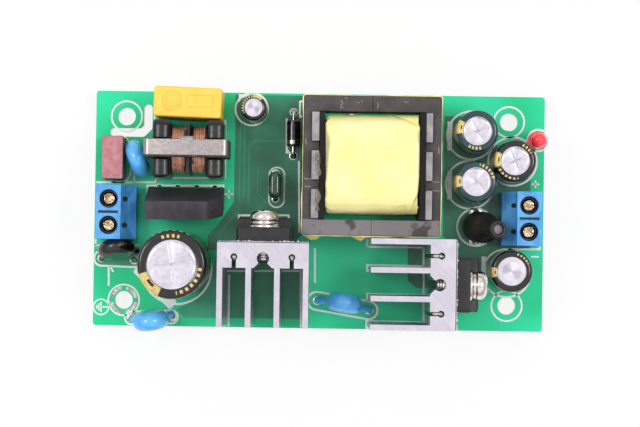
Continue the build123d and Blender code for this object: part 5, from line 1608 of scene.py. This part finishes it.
# %% [markdown]
# The terminal screws sit deep in their wells. Each one turns as its clamp rises, so the new head
# rides on the screw's own body and keeps the place of the solid that it stands for.

# %% Terminal screws
BRONZE_NICKEL = metal_finish(
    "bronzed_nickel", tone(178, 148, 112), tone(246, 234, 210), 0.2, 0.14, 1.1, depth=0.02
)
for side in ("input", "output"):
    for pole in (1, 2):
        node_name = f"{side}_terminal_screw_{pole}"
        low, high = span(node_name)
        centre = (low + high) / 2
        shape = screw_shape(1.38, 1.3, 0.75, 3.1, 0.55, 30.0 + 22.0 * pole, 0.6, (0.66, 0.22))
        put = moved(shape, (centre[0], centre[1], high[2] - 1.32))
        mesh_piece(
            node_name + "_turned", put, BRONZE_NICKEL, body=node_name, slot="nickel_steel", smooth_deg=50,
            stands_for=[node_name],
        )

# %% [markdown]
# The tape over the coil is folded at its corners, and the flaps catch the light. Each is a grid
# that narrows to a point and follows the coil's skin.


# %% Folds of tape
def coil_height(x, y):
    """Height of the coil's skin over a place: its section's fifth-power round-off."""
    middle = (COIL_LOW + COIL_HIGH) / 2
    half = (COIL_HIGH - COIL_LOW) / 2
    across = np.clip(np.abs((y - middle[1]) / half[1]), 0, 0.995)
    return middle[2] + half[2] * (1 - across ** 4.76) ** (1 / 4.76)


def tape_fold(corners, lift):
    """A three-cornered flap laid on the coil: a grid that narrows to the first corner, its
    height the coil's skin plus a lift that swells between the edges."""
    a, b, c = (np.array(p, float) for p in corners)
    s = np.linspace(0, 1, 22)[:, None, None]
    t = np.linspace(0, 1, 22)[None, :, None]
    flat = a + s * ((b - a) * (1 - t) + (c - a) * t)
    swell = lift * (0.4 + 0.6 * np.sin(np.pi * s) * np.sin(np.pi * t)) + 0.03 * np.sin(9 * s + 4 * t)
    z = coil_height(flat[..., 0], flat[..., 1])[..., None] + swell
    top = np.concatenate([flat, z], -1)
    low = np.concatenate([flat, z - 0.35], -1)
    over, faces = skin(top)
    under, back = skin(low)
    return joined([(over, faces), (under, [face[::-1] for face in back])])


FOLDED_TAPE = plastic_finish("folded_tape", tone(226, 214, 122), tone(244, 234, 148), 0.24, 1.4, 0.06, 0.3)
folds = [
    tape_fold(((19.0, 15.9), (14.4, 18.0), (19.1, 18.1)), 0.14),
    tape_fold(((13.8, -0.55), (16.8, 1.15), (17.2, -0.65)), 0.13),
    tape_fold(((19.0, 2.6), (17.6, -0.6), (19.1, -0.6)), 0.1),
]
mesh_piece("tape_folds", joined(folds), FOLDED_TAPE, slot="coil_tape")

# %% [markdown]
# The former's glossy black lugs end over the yokes, and the lamps' reflection on their outer ends is painted
# as flat pale grey pads. The lowest two on the left carry drips of varnish from the bath that the finished
# transformer is dipped in.

# %% Lugs and varnish
LUG_TOP = span("transformer_bobbin")[1][2]
# Pale grey: painted highlight on the lugs, and the chalky scratches on the yokes.
LUG_HIGHLIGHT_AND_SCRATCH_GREY = plastic_finish("rubbed_lug", tone(138, 134, 139), tone(172, 167, 172), 0.45, 5.0, 0.02)


def lug_pads():
    """Thin round-cornered pads of painted highlight over the outer ends of the six lugs."""
    low, high = span("transformer_bobbin")
    gap = 1.65
    width = (high[1] - low[1] - 2 * gap) / 3
    shapes = []
    for n in range(3):
        y0 = low[1] + n * (width + gap) + 0.1
        for x0, x1 in ((-1.0, 0.35), (20.75, 21.95)):
            pad = round_box(x0, y0, x1, y0 + width - 0.2, 0.12, 3)
            shapes.append(plate(pad, LUG_TOP - 0.05, LUG_TOP + 0.05))
    return mesh_piece("lug_pads", joined(shapes), LUG_HIGHLIGHT_AND_SCRATCH_GREY, slot="black_plastic")


def drip(middle, size, seed):
    """A flattened drop: a sphere's grid scaled to three sizes, its radius rippled."""
    v = np.linspace(0.02, np.pi - 0.02, 26)[:, None]
    u = np.linspace(0, 2 * np.pi, 40, endpoint=False)[None]
    r = 1 + 0.16 * np.sin(3 * u + seed) * np.sin(v) ** 2 + 0.08 * np.sin(7 * u + 5 * v + seed)
    x = r * np.sin(v) * np.cos(u) * size[0] + middle[0]
    y = r * np.sin(v) * np.sin(u) * size[1] + middle[1]
    z = r * np.cos(v) * size[2] + middle[2] + 0 * u
    return bar_skin(np.stack([x, y, z], -1))


VARNISH = plastic_finish("varnish_drip", tone(92, 85, 80), tone(150, 143, 138), 0.05, 2.5, 0.2, 1.0)
drips = [
    drip((0.15, 8.9, LUG_TOP - 0.05), (0.5, 2.2, 0.28), 0.4),
    drip((0.5, 7.1, LUG_TOP - 0.1), (0.35, 0.9, 0.3), 2.0),
    drip((0.25, 2.3, LUG_TOP - 0.05), (0.55, 1.5, 0.32), 1.2),
    drip((0.2, 0.2, LUG_TOP), (0.4, 0.7, 0.3), 3.1),
]
lug_pads()
mesh_piece("varnish_drips", joined(drips), VARNISH, slot="black_plastic", smooth_deg=180)
# %% [markdown]
# The yokes show chalky scratches from handling, as ferrite does. They are narrow pale strips laid a
# hair over the top, because a strip also shows in the exported mesh.


# %% Scratches on the yokes
def yoke_marks():
    """Short curved scratches and the thin pale lines across the yokes, a hair over the ferrite."""
    top = span("transformer_core_left")[1][2]
    lines = [
        ((-2.4, 5.85), (-0.9, 5.75)), ((-2.4, 4.4), (-1.1, 4.3)), ((22.0, 5.6), (23.4, 5.5)),
        ((22.0, 3.9), (23.4, 3.85)),
        ((4.4, 20.9), (4.75, 20.3), (4.3, 19.6)), ((4.9, 19.5), (4.3, 19.35)), ((7.4, 20.6), (8.0, 20.4)),
        ((8.2, 20.9), (8.6, 20.6)), ((11.4, 20.5), (11.5, 19.8), (11.3, 19.3)), ((5.6, 21.2), (5.1, 21.4)),
        ((16.4, 20.8), (17.2, 20.6)), ((23.1, 12.2), (23.2, 10.9)), ((-2.2, 13.5), (-2.1, 12.4)),
    ]
    shapes = [ribbon(points, 0.11, top - 0.02, top + 0.012) for points in lines]
    return mesh_piece("yoke_marks", joined(shapes), LUG_HIGHLIGHT_AND_SCRATCH_GREY, slot="ferrite")


yoke_marks()

# %% [markdown]
# Ends of tape stick out under the core's front edge and at its left corner, where they were cut
# and not pressed down.


# %% Loose ends of tape
def loose_tape_ends():
    """Thin flaps of tape that stick out under the core's front edge and at the left corner."""
    flaps = (
        ((-2.7, -4.6), (-3.25, -3.2), (-3.05, -2.4), (-2.7, -2.2)),
        ((-2.5, -4.9), (-1.0, -5.75), (0.2, -5.6), (1.0, -4.95)),
        ((6.6, -4.95), (8.6, -5.85), (9.5, -5.3), (9.6, -4.95)),
    )
    shapes = [plate(outline, 9.0 + 0.9 * n, 9.12 + 0.9 * n) for n, outline in enumerate(flaps)]
    return mesh_piece("loose_tape_ends", joined(shapes), FOLDED_TAPE, slot="coil_tape")


loose_tape_ends()

# %% [markdown]
# The choke's strap is a strip of spring steel bent over the core. Carrying a thin rectangle along
# a path with round corners gives the bright bends that a box with sharp corners can't show.


# %% Spring strap
def strap_path(x0, x1, low, top, bend, count=10):
    """Up one side, over the top and down the other: straight runs joined by quarter circles."""
    a = np.radians(np.linspace(0, 90, count))
    left = np.stack([x0 + bend - bend * np.cos(a), top - bend + bend * np.sin(a)], -1)
    right = np.stack([x1 - bend + bend * np.sin(a), top - bend + bend * np.cos(a)], -1)
    return np.vstack([[(x0, low)], left, right, [(x1, low)]])


def spring_strap():
    """The strip's section, width by thickness, carried along the path; its tab is a small tongue."""
    low, high = span("choke_clip")
    thick, y0, y1 = 0.3, low[1] + 0.3, low[1] + 3.3
    x0, x1, top, bend = low[0] - 0.05, high[0] - 0.35, high[2] + 0.12, 1.0
    outer = strap_path(x0, x1, low[2], top, bend)
    inner = strap_path(x0 + thick, x1 - thick, low[2], top - thick, bend - thick)
    at_y = lambda line, y: np.c_[line[:, 0], np.full(len(line), y), line[:, 1]]
    ring = [at_y(outer, y0), at_y(outer, y1), at_y(inner, y1), at_y(inner, y0)]
    strip = bar_skin(np.stack(ring, 1))
    middle = (low[0] + high[0]) / 2
    reach = np.array([(y1 - 0.05, high[2] + 0.12), (y1 + 0.35, high[2] + 0.1), (y1 + 0.6, high[2] - 0.1)])
    corners = ((-1, 0), (1, 0), (1, thick), (-1, thick))
    tab = bar_skin(np.stack([np.c_[np.full(3, middle + s * 1.2), reach - (0, d)] for s, d in corners], 1))
    piece = mesh_piece(
        "spring_strap", joined([strip, tab]), STRIP_STEEL, slot="spring_steel", smooth_deg=40,
        stands_for=["choke_clip"],
    )
    edge = piece.modifiers.new("edge", "BEVEL")
    edge.width, edge.segments, edge.limit_method = 0.05 * MM, 2, "ANGLE"
    edge.angle_limit = math.radians(50)


spring_strap()

# %% [markdown]
# The former's end blocks are not flat on top: each of the four swells into a glossy barrel. A
# barrel is a rounded rectangle's section carried along the block and shrunk towards its ends.


# %% Barrel tops of the choke's former
def barrel(x0, x1, y0, y1, z0, z1, power=2.2, end=0.6):
    """Sections |x/a|^p + |z/b|^p = 1 along Y; each one's size is the root of 1 - ((end - d) / end)^2
    for a distance d from the nearer end."""
    y = y0 + (y1 - y0) * (0.5 - 0.5 * np.cos(np.linspace(0.02, np.pi - 0.02, 40)))
    d = np.minimum(np.minimum(y - y0, y1 - y), end)
    size = np.sqrt(np.clip(1 - ((end - d) / end) ** 2, 0.01, 1))[:, None]
    a = np.linspace(0, 2 * np.pi, 48, endpoint=False)[None]
    bend = lambda v: np.sign(v) * np.abs(v) ** (2 / power)
    x = (x0 + x1) / 2 + (x1 - x0) / 2 * size * bend(np.cos(a))
    z = (z0 + z1) / 2 + (z1 - z0) / 2 * size * bend(np.sin(a))
    return bar_skin(np.stack([x, y[:, None] + 0 * a, z], -1))


barrels = [
    barrel(x0, x1, y0, y1, 12.0, 14.25)
    for x0, x1 in ((-31.55, -28.15), (-21.25, -17.85)) for y0, y1 in ((5.7, 9.75), (12.85, 16.3))
]
mesh_piece("former_barrels", joined(barrels), GLOSSY_MOULDING, slot="black_plastic", smooth_deg=60)

# %% [markdown]
# The sinks' ends were sawn and not deburred: a ragged white fringe hangs over the edge on the
# package's side. The solder pins fill the keyholes almost to the top.


# %% Sink details
def ragged_edge(start, end, out, count, seed):
    """A thin plate along an edge whose outer side wanders: depth a small random number for each
    step, some steps standing out."""
    rng = np.random.default_rng(seed)
    t = np.linspace(0, 1, count)
    depth = rng.uniform(0.02, 0.16, count) + (rng.random(count) > 0.82) * rng.uniform(0.1, 0.34, count)
    start, end, out = (np.array(p, float) for p in (start, end, out))
    line = start + (end - start) * t[:, None]
    outline = np.vstack([line + out * depth[:, None], (line - out * 0.15)[::-1]])
    top = span("primary_heatsink")[1][2]
    return plate(outline, top - 0.14, top)


def sink_details():
    """The fringe on both sinks, and the pin ends in the keyholes as lathe shapes."""
    fringe = [
        ragged_edge((-18.2, -6.4), (-1.3, -6.4), (0, 1), 90, 3),
        ragged_edge((26.4, -22.4), (26.4, -5.5), (1, 0), 90, 5),
    ]
    mesh_piece("sawn_fringe", joined(fringe), SINK, slot="sink_aluminium")
    pins = []
    for x, y in ((-15.15, -9.25), (-4.35, -9.25), (23.55, -19.35), (23.55, -8.55)):
        profile = [(0.56, 9.5), (0.56, 22.6), (0.45, 22.85), (0.2, 22.95)]
        pins.append(moved(lathe(profile, 24), (x, y, 0)))
        if x > 0:
            pins.append(plate(round_box(x - 1.5, y - 0.24, x, y + 0.24, 0.12, 4), 9.5, 22.85))
    mesh_piece("pin_ends", joined(pins), TINNED, slot="tinned_wire", smooth_deg=60)


sink_details()

# %% [markdown]
# The terminals' wells are deep and narrow, so they look almost black. Their shade is painted: a dark sleeve
# inside each well, a dark plug deep in each probe hole, and a dark bar in the groove between the poles.


# %% Terminal details
# Painted shade: a near-black blue for the sleeves, plugs and bars in the terminals.
PAINTED_WELL_SHADE = plastic_finish("well_shadow", tone(12, 22, 34), tone(20, 34, 50), 0.5, 5.0, 0.01)
TERMINAL_HIGH = span("input_terminal_housing")[1][2]
WELL_FLOOR, WELL_RIM = TERMINAL_HIGH - 2.0, TERMINAL_HIGH - 0.08
SHADE_SLEEVE = (
    (1.5, WELL_FLOOR + 0.02), (1.79, WELL_FLOOR + 0.02), (1.79, WELL_RIM), (1.66, WELL_RIM),
    (1.6, WELL_FLOOR + 0.12), (1.5, WELL_FLOOR + 0.12),
)


def painted_terminal_shade():
    """Painted shade: dark sleeves round the screws, plugs in the probe holes and bars between the poles."""
    shapes = []
    for side in ("input", "output"):
        ys = []
        for pole in (1, 2):
            low, high = span(f"{side}_terminal_screw_{pole}")
            x, y = (low[:2] + high[:2]) / 2
            ys.append(y)
            shapes.append(moved(lathe(SHADE_SLEEVE, 64, ring=True), (x, y, 0)))
        low, high = span(f"{side}_terminal_housing")
        pin_x = (high[0] - 6.1 if side == "output" else low[0] + 6.1) + PROBE_STEP[side]
        for y in ys:
            shapes.append(moved(lathe([(0.47, 6.0), (0.47, 7.6)], 24), (pin_x, y, 0)))
        middle = sum(ys) / 2
        bar = round_box(x - 1.9, middle - 0.2, x + 1.9, middle + 0.2, 0.05, 3)
        shapes.append(plate(bar, TERMINAL_HIGH - 0.6, TERMINAL_HIGH - 0.03))
    return mesh_piece("terminal_shadows", joined(shapes), PAINTED_WELL_SHADE, slot="black_plastic")


painted_terminal_shade()

# %% [markdown]
# The boxed capacitor's top has a faint raised ring and frame from its mould.


# %% Raised lines on the boxed capacitor
RAISED_YELLOW = plastic_finish("raised_yellow", tone(226, 184, 62), tone(236, 196, 74), 0.4, 7.0, 0.01)


def mould_lines():
    """Closed raised lines on the top face: two rings and a frame."""
    top = span("suppression_capacitor")[1][2]
    x, y = -27.9, 20.4
    lines = [(circle(x, y, 1.8, 48), 0.16), (circle(x, y, 1.2, 40), 0.12)]
    lines.append((round_box(x + 2.8, y - 1.15, x + 7.8, y + 1.15, 0.4, 5), 0.14))
    shapes = [ribbon(points, width, top - 0.05, top + 0.05, closed=True) for points, width in lines]
    return mesh_piece("mould_lines", joined(shapes), RAISED_YELLOW, slot="yellow_case", smooth_deg=30)


mould_lines()

# %% [markdown]
# The output inductor is a coil on a ferrite rod under one shrunk sleeve: wide over the coil,
# narrow over the rod's end, where the ferrite shows. It leans towards the terminal.


# %% Output inductor
SOFT_SLEEVE = plastic_finish("soft_black_sleeve", tone(30, 25, 27), tone(48, 42, 45), 0.5, 5.0, 0.03)
ROD_BASE = np.array([31.25, -2.6, BOARD_TOP + 1.0])
ROD_TOP = np.array([34.9, -3.25, 13.7])


def along_rod(shape):
    """Turns a shape drawn on the upright axis so that it runs from the rod's base to its top."""
    run = unit(ROD_TOP - ROD_BASE)
    side = unit(np.cross((0.0, 1.0, 0.0), run))
    points, faces = shape
    return points @ np.stack([side, np.cross(run, side), run]) + ROD_BASE, faces


def rod_inductor():
    """Sleeve, rod end and wires as lathe shapes and tubes along the rod."""
    length = float(np.linalg.norm(ROD_TOP - ROD_BASE))
    film = [
        (2.3, 0.0), (2.8, 0.12), (3.0, 0.7), (3.04, 2.0), (2.98, 3.2), (3.02, 4.4), (2.85, 5.2), (2.4, 5.9),
        (2.02, 6.7), (1.84, 7.8), (1.78, 9.6), (1.72, length - 0.35), (1.66, length - 0.1), (1.5, length),
        (1.2, length - 0.02), (1.02, length - 0.15), (1.0, length - 0.8),
    ]
    mesh_piece(
        "rod_sleeve", along_rod(lathe(film, 64)), SOFT_SLEEVE, slot="black_sleeve", smooth_deg=60,
        stands_for=["inductor_sleeve", "inductor_winding"],
    )
    core = along_rod(lathe([(1.0, 0.5), (1.0, length - 0.62), (0.82, length - 0.5), (0.1, length - 0.5)], 40))
    mesh_piece("rod_end", core, FERRITE, slot="ferrite", smooth_deg=50, stands_for=["inductor_core"])
    wires = []
    for side in (-1, 1):
        y = -2.5 + side * 2.5
        path = [
            (31.3, y, -2.5), (31.3, y, 0.0), (31.3, y, 1.9), (31.3, y * 0.9 - 0.25, 2.5),
            (31.4, y * 0.6 - 1.0, 2.9),
        ]
        wires.append(tube(path, 0.4, 16, up=(1, 0, 0)))
    mesh_piece("rod_wires", joined(wires), TINNED, slot="tinned_wire", smooth_deg=60)


rod_inductor()

# %% [markdown]
# Chips under the board are small bricks of ceramic with tinned ends, each end sitting in a little
# wedge of solder. One resistor beside the corner hole is drawn clear of the hole's edge.


# %% Chips under the board
RESISTORS = (
    (-24.0, 14.0, 0), (-16.4, 6.6, 90), (-12.0, 5.2, 0), (-8.6, 9.6, 90), (-15.6, -2.6, 0), (-1.0, -12.4, 90),
    (26.6, 14.4, 90), (24.2, 14.4, 90), (19.6, -8.2, 0), (33.0, -9.0, 90), (35.6, 4.9, 90), (37.2, 15.0, 90),
)
CAPACITORS = ((-19.5, 10.6, 90), (-8.0, 14.4, 90), (-12.6, -1.2, 90), (26.0, 6.2, 90), (17.8, -12.6, 90))


def chip_bodies(places, height):
    """Round-cornered bricks between the end caps."""
    return joined([
        moved(plate(round_box(-0.62, -0.58, 0.62, 0.58, 0.06, 3), -height + 0.03, -0.03), (x, y, 0), turn)
        for x, y, turn in places
    ])


def chip_ends(places, height):
    """End caps a hair proud of the body, with a pad under each and a slope of solder against it."""
    shapes = []
    for x, y, turn in places:
        for side in (-1, 1):
            cap = plate(round_box(side * 0.8 - 0.2, -0.625, side * 0.8 + 0.2, 0.625, 0.08, 3), -height, -0.02)
            pad = plate(round_box(side * 1.0 - 0.42, -0.7, side * 1.0 + 0.42, 0.7, 0.15, 4), -0.06, 0.0)
            slope = np.array([(side * 1.0, -0.05), (side * 1.32, -0.05), (side * 1.0, -height * 0.7)])
            wedge = np.stack([np.c_[slope[:, 0], np.full(3, w), slope[:, 1]] for w in (-0.55, 0.55)])
            solid = bar_skin(wedge if side > 0 else wedge[::-1])
            shapes += [moved(piece, (x, y, 0), turn) for piece in (cap, pad, solid)]
    return joined(shapes)


def chips(node, places, height, finish):
    """Bodies in the chip's own finish, which stand for the node, and ends in solder."""
    bodies = chip_bodies(places, height)
    mesh_piece(node + "_bodies", bodies, finish, slot=SLOTS[node], stands_for=[node])
    mesh_piece(node + "_ends", chip_ends(places, height), SOLDER, slot="solder")


chips("chip_resistors", RESISTORS, 0.5, CERAMIC_CHIP)
chips("chip_capacitors", CAPACITORS, 0.9, TAN_CHIP)

# %% [markdown]
# The box round the CAD frame is measured at the start, as cad_box. The visual model has to stay
# inside the CAD's box.
